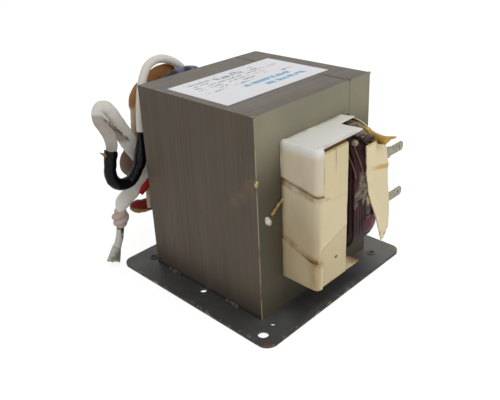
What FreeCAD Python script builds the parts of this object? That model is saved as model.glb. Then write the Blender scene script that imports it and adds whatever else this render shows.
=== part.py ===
import FreeCAD, Part
import math
import os

from FreeCAD import Vector

# High voltage transformer of a microwave oven, at its real size in millimetres.
# X runs along the coils' axis, from the yoke of the core to its closing bar.
# Y runs along the stack of laminations, and -Y is the side with the two tabs.
# Z is up, and the origin is the middle of the base plate's underside.

# Core: a scrapless E and I lamination, whose outer leg width sets the others
LEG_W = 17.5            # width of an outer leg, of the yoke and of the closing bar
CENTRE_W = 2 * LEG_W    # width of the centre leg
WINDOW_H = LEG_W        # height of each window
WINDOW_L = 52.0         # length of each window, along X
STACK = 81.0            # thickness of the stack, along Y
SEAM_V = 0.9            # depth of the welded groove where the E meets the bar

# Base plate
PLATE_T = 1.5
PLATE_X = 114.0
PLATE_Y = 114.0
PLATE_R = 6.0
CORNER_HOLE_R = 2.75
CORNER_HOLE_X = 50.5
CORNER_HOLE_Y = 48.0
PILOT_HOLE_R = 1.6
PILOT_RIM_R = 2.3
PILOT_RIM_H = 0.5
PILOT_X = 42.0
PILOT_Y = 46.5
SIGHT_HOLE_R = 1.9
SIGHT_HOLE_X = 45.2

# Weld beads that hold the core to the plate
FOOT_BEAD_R = 1.8
FOOT_BEAD_L = 9.0
FOOT_BEAD_Y = (-20.0, 25.0)

# Windings: the build is the thickness of the wound wire, outward from the leg
LINER_T = 0.5
FIT = 0.15              # clearance between pieces that are pushed together
HEAD_GAP = 3.2          # free space between the core's face and a coil's head
COIL_GAP = 0.8          # free space between a coil and the walls of its window
COIL_INNER_R = 0.5
FILAMENT_WIRE = 2.2
FILAMENT_TURNS = 2
SHUNT_W = 4.2
SHUNT_PAPER = 0.3
PRIMARY_W = 20.0
PRIMARY_TURNS = 9      # turns that show side by side in the outer layer
TURN_RISE = 0.45        # how far a turn stands out between its neighbours
PRIMARY_GAP = 0.55      # free space between the side board and the closing bar
SIDE_BOARD_T = 0.7
FILAMENT_GAP = 0.2      # free space between the filament winding and the shunts

# Paper and card round the coils' heads
WRAP_T = 0.9
BAND_T = 0.9            # the folded bands stand this far out of the wrap's side
WRAP_TOP = 1.1          # height of the wrap's top above the window's edge
WRAP_EDGE_R = 1.8
BAND_UPPER = (17.4, 14.6)   # upper fold above the coils' axis, at the core and in front
BAND_LOWER = (-16.0, -21.8) # lower fold below that axis, at the core and in front
PAPER_T = 0.5
CARD_T = 0.8
NOTCH_IN = 3.4          # these reach over the primary, from its near side
FLAP_TIP_IN = 2.8
FLAP_CORE_IN = 15.8
FLAP_DEPTH = 7.0
NOTCH_DEPTH = 7.5
FOOT_FLAP_IN = 3.9
FLAP_SLANT = 2.0
CARD_HOLE_IN = 11.9     # the card's hole and slit, from the secondary's outer side
CARD_HOLE_DROP = 22.2
CARD_HOLE_R = 0.9
SLIT_IN = 10.4
SLIT_W = 0.5
SLIT_L = 11.0

# Primary's front card, which leans out at its foot and comes to a point there
FRONT_CARD_LEAN = 4.0
FRONT_CARD_DROP = (63.0, 54.2, 37.6, 7.6)       # depths of its corners below the coil's top
FRONT_CARD_LEFT = (-2.1, -7.0, -11.0, -13.4)    # and their places from the primary's outer side
FRONT_CARD_RIGHT = (-2.1, 5.6, 6.0, 3.6)

# Varnished paper that curls over the primary's top edge
CURL_W = 9.0
CURL_INSET = 1.0
CURL_START = 8
CURL_DROP = 6.3608      # how far below the coil's top the curl leaves the coil
CURL_TIP = (6.0, 0.4)

# Quick-connect tabs
TAB_T = 0.8
TAB_W = 4.8
TAB_BASE_W = 6.0
TAB_BASE_L = 9.6
TAB_L = 22.0
TAB_CHAMFER = 1.2
TAB_HOLE_R = 0.85
TAB_HOLE_IN = 3.8
TAB_RISE = (-10.0, 15.8)    # heights of the tabs from the coils' axis

# Bare end of the secondary, soldered to the core's front face
GROUND_WIRE_D = 1.5
GROUND_ROUTE = ((0.4, 7.9), (2.9, 7.3), (6.0, 5.2), (8.6, 2.6))     # outward and up
SOLDER_R = 2.8
SOLDER_DEPTH = 2.2
SOLDER_IN = 6.8

# Label on top of the core
LABEL_X = 73.4
LABEL_Y = 42.6
LABEL_T = 0.2
LABEL_OFFSET_X = -2.3
LABEL_OFFSET_Y = 0.8

# Leads at the rear: diameters, and the points that each route passes
WHITE_LEAD_D = 4.6
BLACK_SLEEVE_D = 6.0
LOOP_SLEEVE_W = 7.0     # a sleeve pressed flat
LOOP_SLEEVE_T = 2.6
LOWER_SLEEVE_D = 4.4
BROWN_SLEEVE_D = 4.6
TOP_SLEEVE_D = 5.4
RED_SLEEVE_D = 6.4
CREAM_STRAND_D = 2.0
KNOT_D = 9.2
KNOT_NECK = 3.6
KNOT_GAP = 0.4
FRAY_D = 6.4
FRAY_L = 6.2

# Sizes that follow from the ones above
CORE_X = 2 * LEG_W + WINDOW_L
CORE_Z = CENTRE_W + 2 * WINDOW_H + 2 * LEG_W
CORE_X0 = -CORE_X / 2
CORE_X1 = CORE_X / 2
SEAM_X = CORE_X1 - LEG_W
WINDOW_X0 = CORE_X0 + LEG_W
FACE_Y = STACK / 2
CORE_Z0 = PLATE_T
CORE_Z1 = PLATE_T + CORE_Z
MID_Z = PLATE_T + CORE_Z / 2
WINDOW_Z0 = CORE_Z0 + LEG_W
WINDOW_Z1 = CORE_Z1 - LEG_W
LEG_Z1 = MID_Z + CENTRE_W / 2
COIL_BUILD = WINDOW_H - LINER_T - 2 * FIT - COIL_GAP
COIL_IN_Z = CENTRE_W / 2 + 2 * FIT + LINER_T
COIL_IN_Y = FACE_Y + HEAD_GAP
COIL_OUT_Z = COIL_IN_Z + COIL_BUILD
COIL_OUT_Y = COIL_IN_Y + COIL_BUILD
PRIMARY_X1 = SEAM_X - PRIMARY_GAP - SIDE_BOARD_T - FIT
PRIMARY_X0 = PRIMARY_X1 - PRIMARY_W
TAB_X0 = PRIMARY_X1 + FIT + SIDE_BOARD_T + FIT
SHUNT_X1 = PRIMARY_X0 - FIT - SHUNT_PAPER
SHUNT_X0 = SHUNT_X1 - SHUNT_W
FILAMENT_X1 = SHUNT_X0 - SHUNT_PAPER - FILAMENT_GAP
FILAMENT_X0 = FILAMENT_X1 - FILAMENT_WIRE
SECONDARY_X0 = WINDOW_X0 + COIL_GAP
SECONDARY_X1 = FILAMENT_X0 - WRAP_T - FIT
WRAP_X0 = SECONDARY_X0 - FIT - WRAP_T
WRAP_X1 = SECONDARY_X1 + FIT + WRAP_T
WRAP_OUT_Y = COIL_OUT_Y + FIT + WRAP_T
WRAP_Z0 = MID_Z - COIL_OUT_Z - FIT - WRAP_T / 2
WRAP_Z1 = WINDOW_Z1 + WRAP_TOP
CARD_Y = WRAP_OUT_Y + FIT
TURN_PITCH = PRIMARY_W / PRIMARY_TURNS
HEAD_TOP_Z = WRAP_Z1 + FIT + PAPER_T

# The leads' routes. Each point is (x, y, z), from the coil outward.
WHITE_LEAD = [
    (5.0, 57.0, HEAD_TOP_Z), (5.0, 57.0, 96.5), (1.0, 56.5, 104.0), (-6.5, 55.5, 110.5),
    (-16.5, 54.5, 112.5), (-25.0, 54.0, 111.0), (-31.0, 53.6, 105.8), (-34.9, 53.0, 97.6),
    (-37.0, 51.9, 87.5), (-38.1, 50.7, 77.5),
]
BLACK_SLEEVE = [
    (-38.1, 50.7, 77.3), (-38.9, 50.1, 71.4), (-41.6, 49.2, 64.4), (-46.4, 48.7, 58.4),
    (-52.4, 48.7, 55.4), (-57.8, 49.2, 57.0), (-60.6, 49.8, 62.0), (-59.8, 50.4, 67.4),
    (-58.6, 51.0, 72.0),
]
LOOP_SLEEVE = [
    (-58.5, 51.1, 72.3), (-57.7, 51.5, 75.6), (-59.8, 52.6, 82.0), (-62.5, 53.8, 89.4),
    (-60.9, 54.5, 93.6), (-56.9, 55.1, 95.2), (-53.0, 55.7, 93.4), (-50.2, 56.5, 85.3),
    (-46.6, 57.1, 76.8), (-42.6, 57.4, 68.4), (-39.6, 57.6, 60.6), (-37.9, 57.6, 53.0),
    (-39.6, 57.6, 46.0), (-44.2, 57.6, 41.4), (-49.2, 57.5, 38.6), (-52.2, 57.4, 35.8),
    (-53.2, 57.4, 32.6),
]
LOWER_SLEEVE = [
    (-54.6, 57.8, 22.2), (-54.9, 58.4, 18.2), (-55.2, 60.0, 13.4), (-56.2, 61.4, 9.0),
]
BROWN_SLEEVE = [
    (-4.0, 59.4, HEAD_TOP_Z), (-4.0, 59.4, 96.2), (-7.4, 58.2, 101.8), (-13.0, 56.2, 104.6),
    (-19.5, 53.2, 104.8), (-27.0, 48.9, 103.8), (-33.5, 45.8, 102.4), (-39.0, 45.2, 99.4),
    (-42.6, 46.2, 94.6), (-44.0, 48.8, 88.4), (-43.0, 53.8, 82.6), (-40.4, 60.2, 77.2),
    (-39.0, 64.2, 70.2), (-40.6, 65.0, 62.6), (-41.0, 64.6, 55.2), (-37.6, 63.6, 49.2),
    (-32.4, 62.0, 46.0), (-27.7, 60.2, 44.6),
]
TOP_SLEEVE = [
    (12.0, 53.6, HEAD_TOP_Z), (12.0, 53.6, 95.8), (8.8, 52.2, 101.6), (2.4, 50.2, 105.2),
    (-4.4, 48.8, 106.2), (-11.0, 47.6, 105.4), (-16.8, 47.4, 102.0), (-20.4, 48.2, 96.4),
    (-20.4, 48.2, HEAD_TOP_Z),
]
RED_SLEEVE = [
    (-27.4, 57.0, 29.6), (-32.6, 57.2, 29.6), (-38.4, 58.6, 30.4), (-43.6, 61.0, 32.4),
]
CREAM_STRAND = [
    (-33.4, 57.6, 38.4), (-33.9, 57.8, 37.2), (-34.3, 58.2, 35.2), (-34.5, 58.6, 33.8),
]

RUN_SHARE = 0.45        # share of a run that a bend may take up at each end
SIDES = 5               # a lead's section is drawn with this many sides, at its true area

made = {}


def box(x0, x1, y0, y1, z0, z1):
    return Part.makeBox(x1 - x0, y1 - y0, z1 - z0, Vector(x0, y0, z0))


def cylinder(radius, length, start, axis):
    return Part.makeCylinder(radius, length, Vector(*start), Vector(*axis))


def prism(points, direction):
    """Extrude a closed outline of 3-D points along a direction."""
    outline = [Vector(*p) for p in points]
    face = Part.Face(Part.makePolygon(outline + outline[:1]))
    return face.extrude(Vector(*direction))


def mirror_y(shape):
    return shape.mirror(Vector(0, 0, 0), Vector(0, 1, 0))


def keep(name, *solids):
    """Store a node, as one solid or as a group of separate ones."""
    made[name] = solids[0] if len(solids) == 1 else Part.makeCompound(list(solids))


def round_rect_wire(half_y, half_z, radius, x):
    """A rounded rectangle round the centre leg, in the plane at x."""
    y, z, r = half_y, half_z, radius
    edges = []
    corners = ((1, 1, 0), (-1, 1, 90), (-1, -1, 180), (1, -1, 270))
    ends = []
    for side_y, side_z, angle in corners:
        centre = Vector(x, side_y * (y - r), MID_Z + side_z * (z - r))
        arc = []
        for turn in (0, 45, 90):
            a = math.radians(angle + turn)
            arc.append(centre + Vector(0, r * math.cos(a), r * math.sin(a)))
        edges.append(Part.Arc(*arc).toShape())
        ends.append((arc[0], arc[2]))
    for i, (_, leave) in enumerate(ends):
        arrive = ends[(i + 1) % 4][0]
        edges.append(Part.LineSegment(leave, arrive).toShape())
    return Part.Wire(Part.__sortEdges__(edges))


def ring(x0, x1, half_y, half_z, radius, thickness):
    """A racetrack ring of even thickness round the centre leg."""
    outer = Part.Face(round_rect_wire(half_y + thickness, half_z + thickness, radius + thickness, x0))
    inner = Part.Face(round_rect_wire(half_y, half_z, radius, x0))
    return outer.cut(inner).extrude(Vector(x1 - x0, 0, 0))


def follow_racetrack(section, half_y, half_z, radius):
    """Carry a section, drawn in the XZ plane above the centre leg, once round
    the leg: it is extruded along the straights and revolved at the corners."""
    flat_y = half_y - radius
    flat_z = half_z - radius
    x_axis = Vector(1, 0, 0)
    top = section.copy()
    top.translate(Vector(0, -flat_y, 0))
    pieces = [top.extrude(Vector(0, 2 * flat_y, 0))]
    corner = section.copy()
    corner.translate(Vector(0, flat_y, 0))
    centre = Vector(0, flat_y, MID_Z + flat_z)
    pieces.append(corner.revolve(centre, x_axis, -90))
    side = corner.copy()
    side.rotate(centre, x_axis, -90)
    pieces.append(side.extrude(Vector(0, 0, -2 * flat_z)))
    low_centre = Vector(0, flat_y, MID_Z - flat_z)
    side.translate(Vector(0, 0, -2 * flat_z))
    pieces.append(side.revolve(low_centre, x_axis, -90))
    half = pieces[0].multiFuse(pieces[1:])
    other = half.copy()
    other.rotate(Vector(0, 0, MID_Z), x_axis, 180)
    return half.fuse(other).removeSplitter()


def cord_path(name, points):
    """Straight runs joined by tangent arcs, each as large as its runs allow."""
    p = [Vector(*q) for q in points]
    start = p[0]
    edges = []
    radii = []
    for i in range(1, len(p) - 1):
        back = p[i - 1] - p[i]
        ahead = p[i + 1] - p[i]
        reach = RUN_SHARE * min(back.Length, ahead.Length)
        turn = math.pi - back.getAngle(ahead)
        radii.append(reach / math.tan(turn / 2))
        back.normalize()
        ahead.normalize()
        into = p[i] + back * reach
        out = p[i] + ahead * reach
        middle_way = back + ahead
        middle_way.normalize()
        centre_way = radii[-1] / math.cos(turn / 2)
        middle = p[i] + middle_way * (centre_way - radii[-1])
        edges.append(Part.LineSegment(start, into).toShape())
        edges.append(Part.Arc(into, middle, out).toShape())
        start = out
    edges.append(Part.LineSegment(start, p[-1]).toShape())
    path = Part.Wire(edges)
    print("%s: length %.1f, radii %s" % (name, path.Length, " ".join("%.1f" % r for r in radii)))
    return path


def many_sided(diameter):
    """The corners of a regular outline with the area of a circle."""
    step = 2 * math.pi / SIDES
    radius = diameter / 2 * math.sqrt(step / math.sin(step))
    return [Vector(radius * math.cos(i * step), radius * math.sin(i * step), 0) for i in range(SIDES)]


def flat_outline(width, thickness):
    """The corners of a flat sleeve's section, with its width along Y."""
    x = thickness / 2
    y = width / 2
    return [Vector(x, -y, 0), Vector(x, y, 0), Vector(-x, y, 0), Vector(-x, -y, 0)]


def cord(name, points, corners):
    """A lead or sleeve along its route: the corners of its section, drawn flat,
    are stood across the first run."""
    path = cord_path(name, points)
    start = Vector(*points[0])
    section = Part.makePolygon(corners + corners[:1])
    area = Part.Face(section).Area
    section.Placement = FreeCAD.Placement(start, FreeCAD.Rotation(Vector(0, 0, 1), Vector(*points[1]) - start))
    solid = path.makePipeShell([section], True, False)
    print("%s: volume %.1f, section times length %.1f" % (name, solid.Volume, area * path.Length))
    return solid


def tapered(start, way, diameters):
    """A solid of flat faces along a straight way, through many-sided outlines
    given by distance and diameter."""
    turn = FreeCAD.Rotation(Vector(0, 0, 1), way)
    outlines = []
    for distance, diameter in diameters:
        outlines.append([start + way * distance + turn.multVec(c) for c in many_sided(diameter)])
    faces = [Part.Face(Part.makePolygon(o + o[:1])) for o in (outlines[0], outlines[-1])]
    for low, high in zip(outlines, outlines[1:]):
        for i in range(SIDES):
            k = (i + 1) % SIDES
            side = Part.makePolygon([low[i], low[k], high[k], high[i], low[i]])
            faces.append(Part.Face(side))
    return Part.makeSolid(Part.makeShell(faces))


def core():
    """The E stack with its yoke at -X, the closing bar at +X, and the weld
    beads in the grooves where the two meet, on top and underneath."""
    e = box(CORE_X0, SEAM_X, -FACE_Y, FACE_Y, CORE_Z0, CORE_Z1)
    for z0 in (WINDOW_Z0, LEG_Z1):
        e = e.cut(box(WINDOW_X0, SEAM_X, -FACE_Y, FACE_Y, z0, z0 + WINDOW_H))
    bar = box(SEAM_X, CORE_X1, -FACE_Y, FACE_Y, CORE_Z0, CORE_Z1)
    beads = []
    for z, inward in ((CORE_Z1, -1), (CORE_Z0, 1)):
        groove = prism([(SEAM_X - SEAM_V, -FACE_Y, z), (SEAM_X + SEAM_V, -FACE_Y, z),
                        (SEAM_X, -FACE_Y, z + inward * SEAM_V)], (0, STACK, 0))
        e = e.cut(groove)
        bar = bar.cut(groove)
        beads.append(groove)
    keep("core_e_stack", e)
    keep("core_closing_bar", bar)
    keep("core_seam_welds", *beads)


def base_plate():
    """Flat steel plate with rounded corners, two fixing holes on a diagonal,
    four small raised pilot holes and a sight hole at each foot of the core."""
    plate = box(-PLATE_X / 2, PLATE_X / 2, -PLATE_Y / 2, PLATE_Y / 2, 0, PLATE_T)
    upright = [e for e in plate.Edges if abs(e.tangentAt(e.FirstParameter).z) > 0.9]
    plate = plate.makeFillet(PLATE_R, upright)
    for x in (-PILOT_X, PILOT_X):
        for y in (-PILOT_Y, PILOT_Y):
            plate = plate.fuse(cylinder(PILOT_RIM_R, PILOT_RIM_H, (x, y, PLATE_T), (0, 0, 1)))
            plate = plate.cut(cylinder(PILOT_HOLE_R, PLATE_T + PILOT_RIM_H, (x, y, 0), (0, 0, 1)))
    for side in (-1, 1):
        spot = (side * CORNER_HOLE_X, side * CORNER_HOLE_Y, 0)
        plate = plate.cut(cylinder(CORNER_HOLE_R, PLATE_T, spot, (0, 0, 1)))
        sight = (side * SIGHT_HOLE_X, 0, 0)
        plate = plate.cut(cylinder(SIGHT_HOLE_R, PLATE_T, sight, (0, 0, 1)))
    keep("base_plate", plate)


def foot_welds():
    """Quarter-round beads along the foot of the core's two ends."""
    beads = []
    for x, side in ((CORE_X0, -1), (CORE_X1, 1)):
        for y in FOOT_BEAD_Y:
            start = (x, y - FOOT_BEAD_L / 2, PLATE_T)
            bead = cylinder(FOOT_BEAD_R, FOOT_BEAD_L, start, (0, 1, 0))
            out = x + side * FOOT_BEAD_R
            quarter = box(min(x, out), max(x, out), y - FOOT_BEAD_L, y + FOOT_BEAD_L,
                          PLATE_T, PLATE_T + FOOT_BEAD_R)
            beads.append(bead.common(quarter))
    keep("foot_welds", *beads)


def liner(name, x0, x1):
    """Paper tube, folded square, between the centre leg and a winding."""
    y = COIL_IN_Y - FIT
    z = COIL_IN_Z - FIT
    tube = box(x0, x1, -y, y, MID_Z - z, MID_Z + z)
    keep(name, tube.cut(box(x0, x1, LINER_T - y, y - LINER_T, MID_Z + LINER_T - z, MID_Z + z - LINER_T)))


def secondary():
    """High voltage winding of fine wire, wound flush like one block."""
    liner("secondary_liner", SECONDARY_X0, SECONDARY_X1)
    keep("secondary_winding", ring(SECONDARY_X0, SECONDARY_X1, COIL_IN_Y, COIL_IN_Z, COIL_INNER_R, COIL_BUILD))


def filament():
    """A few turns of insulated wire, one over the other, beside the secondary."""
    turns = []
    for i in range(FILAMENT_TURNS):
        out = i * (FILAMENT_WIRE + FIT)
        turns.append(ring(FILAMENT_X0, FILAMENT_X1, COIL_IN_Y + out, COIL_IN_Z + out,
                          COIL_INNER_R + out, FILAMENT_WIRE))
    keep("filament_winding", *turns)


def shunts():
    """Two magnetic shunts between the windings, each in a sleeve of paper."""
    reach = FACE_Y - FIT
    for name, z0 in (("lower", WINDOW_Z0), ("upper", LEG_Z1)):
        outer = box(SHUNT_X0 - SHUNT_PAPER, SHUNT_X1 + SHUNT_PAPER, -reach, reach, z0 + FIT, z0 + WINDOW_H - FIT)
        hole = box(SHUNT_X0, SHUNT_X1, -reach, reach,
                   z0 + FIT + SHUNT_PAPER, z0 + WINDOW_H - FIT - SHUNT_PAPER)
        keep("shunt_%s" % name, hole)
        keep("shunt_paper_%s" % name, outer.cut(hole))


def primary():
    """Winding of thick wire: the turns of its outer layer stand out as ribs,
    and the ribs follow the racetrack round the leg."""
    liner("primary_liner", PRIMARY_X0, PRIMARY_X1)
    z_in = MID_Z + COIL_IN_Z
    z_crown = MID_Z + COIL_OUT_Z
    z_valley = z_crown - TURN_RISE
    outline = [(PRIMARY_X0, 0, z_in), (PRIMARY_X0, 0, z_valley)]
    for i in range(PRIMARY_TURNS):
        x = PRIMARY_X0 + i * TURN_PITCH
        outline += [(x + TURN_PITCH / 2, 0, z_crown), (x + TURN_PITCH, 0, z_valley)]
    outline.append((PRIMARY_X1, 0, z_in))
    corners = [Vector(*p) for p in outline]
    section = Part.Face(Part.makePolygon(corners + corners[:1]))
    keep("primary_winding", follow_racetrack(section, COIL_OUT_Y, COIL_OUT_Z, COIL_INNER_R + COIL_BUILD))
    x = PRIMARY_X1 + FIT
    outer = round_rect_wire(COIL_OUT_Y - LINER_T, COIL_OUT_Z - LINER_T, COIL_INNER_R + COIL_BUILD - LINER_T, x)
    y = COIL_IN_Y - LINER_T - FIT
    z = COIL_IN_Z - LINER_T - FIT
    board = Part.Face(outer).extrude(Vector(SIDE_BOARD_T, 0, 0))
    keep("primary_side_board", board.cut(box(x, x + SIDE_BOARD_T, -y, y, MID_Z - z, MID_Z + z)))


def head_wrap():
    """Paper box folded over the secondary's front head, open at the core. Its
    side shows three bands: the upper and the lower one stand out."""
    near = -FACE_Y - FIT
    far = -WRAP_OUT_Y
    shell = box(WRAP_X0, WRAP_X1, far, near, WRAP_Z0, WRAP_Z1)
    shell = shell.makeFillet(WRAP_EDGE_R, [e for e in shell.Edges if is_front_edge(e, far)])
    x0 = WRAP_X0 - BAND_T
    fold_y = far + WRAP_EDGE_R
    bands = []
    for (at_core, in_front), end in ((BAND_UPPER, WRAP_Z1 - WRAP_EDGE_R), (BAND_LOWER, WRAP_Z0)):
        outline = [(x0, near, MID_Z + at_core), (x0, fold_y, MID_Z + in_front), (x0, fold_y, end), (x0, near, end)]
        bands.append(prism(outline, (BAND_T + WRAP_EDGE_R, 0, 0)))
    hollow = box(SECONDARY_X0 - FIT, SECONDARY_X1 + FIT, -COIL_OUT_Y - FIT, near,
                 MID_Z - COIL_OUT_Z - FIT, MID_Z + COIL_OUT_Z + FIT)
    return shell.multiFuse(bands).cut(hollow).removeSplitter()


def is_front_edge(edge, far):
    """True for the wrap's long edges in front, upright and along the top."""
    middle = edge.valueAt((edge.FirstParameter + edge.LastParameter) / 2)
    upright = abs(middle.x - WRAP_X0) < FIT and abs(middle.z - (WRAP_Z0 + WRAP_Z1) / 2) < FIT
    top = abs(middle.z - WRAP_Z1) < FIT
    return abs(middle.y - far) < FIT and (upright or top)


def top_paper_front():
    """White sheet over the front head, torn to a notch above the primary."""
    near = -FACE_Y - FIT
    z = WRAP_Z1 + FIT
    flap = PRIMARY_X0 + FLAP_CORE_IN
    outline = [(WRAP_X0, near, z), (flap - FLAP_SLANT, near, z), (flap, near - FLAP_DEPTH, z),
               (PRIMARY_X0 + NOTCH_IN, near - NOTCH_DEPTH, z), (PRIMARY_X0 + FLAP_TIP_IN, -WRAP_OUT_Y, z),
               (WRAP_X0, -WRAP_OUT_Y, z)]
    return prism(outline, (0, 0, PAPER_T))


def top_paper_rear():
    near = FACE_Y + FIT
    return box(WRAP_X0, PRIMARY_X1, near, WRAP_OUT_Y, WRAP_Z1 + FIT, WRAP_Z1 + FIT + PAPER_T)


def foot_paper():
    """Sheet under the front heads, which shows past the secondary's card."""
    z = WRAP_Z0 - FIT - PAPER_T
    near = -FACE_Y - FIT
    flap = PRIMARY_X0 + FOOT_FLAP_IN
    outline = [(WRAP_X0, near, z), (flap - FLAP_SLANT, near, z), (flap, -WRAP_OUT_Y, z),
               (WRAP_X0, -WRAP_OUT_Y, z)]
    return prism(outline, (0, 0, PAPER_T))


def head_card():
    """Flat card in front of the secondary's head."""
    return box(WRAP_X0, WRAP_X1, -CARD_Y - CARD_T, -CARD_Y, WRAP_Z0, WRAP_Z1 - WRAP_EDGE_R)


def head_papers():
    wrap = head_wrap()
    keep("secondary_wrap_front", wrap)
    keep("secondary_wrap_rear", mirror_y(wrap))
    card = head_card()
    hole_at = (SECONDARY_X0 + CARD_HOLE_IN, -CARD_Y - CARD_T, MID_Z - CARD_HOLE_DROP)
    hole = cylinder(CARD_HOLE_R, CARD_T, hole_at, (0, 1, 0))
    slit_x = SECONDARY_X0 + SLIT_IN
    slit = box(slit_x - SLIT_W / 2, slit_x + SLIT_W / 2, -CARD_Y - CARD_T, -CARD_Y,
               WRAP_Z1 - WRAP_EDGE_R - SLIT_L, WRAP_Z1)
    keep("secondary_card_front", card.cut(hole).cut(slit))
    keep("secondary_card_rear", mirror_y(card))
    keep("top_paper_front", top_paper_front())
    keep("top_paper_rear", top_paper_rear())
    keep("foot_paper_front", foot_paper())
    keep("foot_paper_rear", mirror_y(foot_paper()))


def card_y(z):
    """Y of the primary card's back face at a height: it leans out at its foot."""
    return -COIL_OUT_Y - FIT - max(0.0, MID_Z - z) * math.tan(math.radians(FRONT_CARD_LEAN))


def primary_card():
    """Card in front of the primary's head, cut to a point at its foot."""
    heights = [MID_Z + COIL_OUT_Z - drop for drop in FRONT_CARD_DROP]
    z_low, z_high = heights[0], heights[-1]
    side = [(PRIMARY_X0, card_y(z_high), z_high), (PRIMARY_X0, card_y(MID_Z), MID_Z),
            (PRIMARY_X0, card_y(z_low), z_low)]
    back = [(x, y - CARD_T, z) for x, y, z in reversed(side)]
    sheet = prism(side + back, (2 * PRIMARY_W, 0, 0))
    left = [(PRIMARY_X1 + x, 0, z) for z, x in zip(heights, FRONT_CARD_LEFT)]
    right = [(PRIMARY_X1 + x, 0, z) for z, x in zip(heights[1:], FRONT_CARD_RIGHT[1:])]
    cutter = prism(left + right[::-1], (0, card_y(z_low) * 2, 0))
    return sheet.common(cutter)


def varnished_paper():
    """Strip of stiff varnished paper that curls over the primary's top edge."""
    radius = COIL_INNER_R + COIL_BUILD + FIT
    centre = Vector(0, -(COIL_OUT_Y - COIL_INNER_R - COIL_BUILD), MID_Z + COIL_OUT_Z - COIL_INNER_R - COIL_BUILD)
    end = math.degrees(math.acos(1 - CURL_DROP / radius))
    arcs = []
    for r in (radius, radius + PAPER_T):
        p = [centre + Vector(0, -r * math.sin(math.radians(a)), r * math.cos(math.radians(a)))
             for a in (CURL_START, (CURL_START + end) / 2, end)]
        arcs.append(p)
    tip = arcs[1][2] + Vector(0, -CURL_TIP[0], -CURL_TIP[1])
    tip_low = tip + Vector(0, 0, -PAPER_T)
    edges = [Part.Arc(*arcs[0]).toShape(), Part.LineSegment(arcs[0][2], tip_low).toShape(),
             Part.LineSegment(tip_low, tip).toShape(), Part.LineSegment(tip, arcs[1][2]).toShape(),
             Part.Arc(*reversed(arcs[1])).toShape(), Part.LineSegment(arcs[1][0], arcs[0][0]).toShape()]
    face = Part.Face(Part.Wire(Part.__sortEdges__(edges)))
    face.translate(Vector(PRIMARY_X1 - CURL_INSET - CURL_W, 0, 0))
    return face.extrude(Vector(CURL_W, 0, 0))


def tab(z):
    """Quick-connect blade with a stepped base and a hole near its chamfered tip."""
    y = card_y(z + TAB_BASE_W / 2) + FIT
    tip = TAB_X0 + TAB_L
    step = TAB_X0 + TAB_BASE_L
    slope = tip - TAB_CHAMFER
    base = TAB_BASE_W / 2
    half = TAB_W / 2
    upper = [(step, y, z + half), (step, y, z + base), (TAB_X0, y, z + base)]
    lower = [(TAB_X0, y, z - base), (step, y, z - base), (step, y, z - half)]
    end = [(slope, y, z - half), (tip, y, z - half + TAB_CHAMFER), (tip, y, z + half - TAB_CHAMFER),
           (slope, y, z + half)]
    blade = prism(lower + end + upper, (0, TAB_T, 0))
    return blade.cut(cylinder(TAB_HOLE_R, TAB_T, (tip - TAB_HOLE_IN, y, z), (0, 1, 0)))


def primary_front():
    keep("primary_card_front", primary_card())
    keep("varnished_paper", varnished_paper())
    for name, rise in zip(("tab_lower", "tab_upper"), TAB_RISE):
        keep(name, tab(MID_Z + rise))


def ground():
    """The secondary's inner end, soldered to the core's front face."""
    face = -FACE_Y
    y = face - GROUND_WIRE_D / 2 - FIT
    route = [(WRAP_X0 - out, y, MID_Z + up) for out, up in GROUND_ROUTE]
    wire = cord("ground_wire", route, many_sided(GROUND_WIRE_D))
    blob = tapered(Vector(CORE_X0 + SOLDER_IN, face, MID_Z), Vector(0, -1, 0),
                   ((0, 2 * SOLDER_R), (SOLDER_DEPTH / 2, 1.8 * SOLDER_R), (SOLDER_DEPTH, SOLDER_R)))
    keep("ground_wire", wire)
    keep("ground_solder", blob.cut(wire))


def label():
    x = LABEL_OFFSET_X
    y = LABEL_OFFSET_Y
    keep("rating_label", box(x - LABEL_X / 2, x + LABEL_X / 2, y - LABEL_Y / 2, y + LABEL_Y / 2,
                             CORE_Z1, CORE_Z1 + LABEL_T))


def knot():
    """The sleeve tied on itself, as one full body with a neck at each end."""
    top = Vector(*LOOP_SLEEVE[-1])
    way = Vector(*LOWER_SLEEVE[0]) - top
    length = way.Length - KNOT_GAP
    way.normalize()
    shoulder = (KNOT_D - KNOT_NECK) / 2
    return tapered(top, way, ((KNOT_GAP, KNOT_NECK), (shoulder, KNOT_D), (length - shoulder, KNOT_D),
                              (length, KNOT_NECK)))


def frayed_end():
    """The sleeve's end, opened out like a trumpet, with its strands inside."""
    last = Vector(*LOWER_SLEEVE[-1])
    way = last - Vector(*LOWER_SLEEVE[-2])
    way.normalize()
    return tapered(last, way, ((FIT, LOWER_SLEEVE_D), (FRAY_L, FRAY_D)))


def leads():
    """Sleeved leads that leave the rear heads."""
    loop_section = flat_outline(LOOP_SLEEVE_W, LOOP_SLEEVE_T)
    keep("white_lead", cord("white_lead", WHITE_LEAD, many_sided(WHITE_LEAD_D)))
    keep("black_sleeve", cord("black_sleeve", BLACK_SLEEVE, many_sided(BLACK_SLEEVE_D)))
    keep("loop_sleeve", cord("loop_sleeve", LOOP_SLEEVE, loop_section))
    keep("lead_knot", knot())
    keep("lower_sleeve", cord("lower_sleeve", LOWER_SLEEVE, many_sided(LOWER_SLEEVE_D)))
    keep("frayed_end", frayed_end())
    keep("brown_sleeve", cord("brown_sleeve", BROWN_SLEEVE, many_sided(BROWN_SLEEVE_D)))
    keep("top_sleeve", cord("top_sleeve", TOP_SLEEVE, many_sided(TOP_SLEEVE_D)))
    keep("red_sleeve", cord("red_sleeve", RED_SLEEVE, many_sided(RED_SLEEVE_D)))
    keep("cream_strand", cord("cream_strand", CREAM_STRAND, many_sided(CREAM_STRAND_D)))


def write_parts():
    os.makedirs("parts", exist_ok=True)
    for name, shape in made.items():
        shape.exportStep(os.path.join("parts", name + ".step"))


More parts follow.
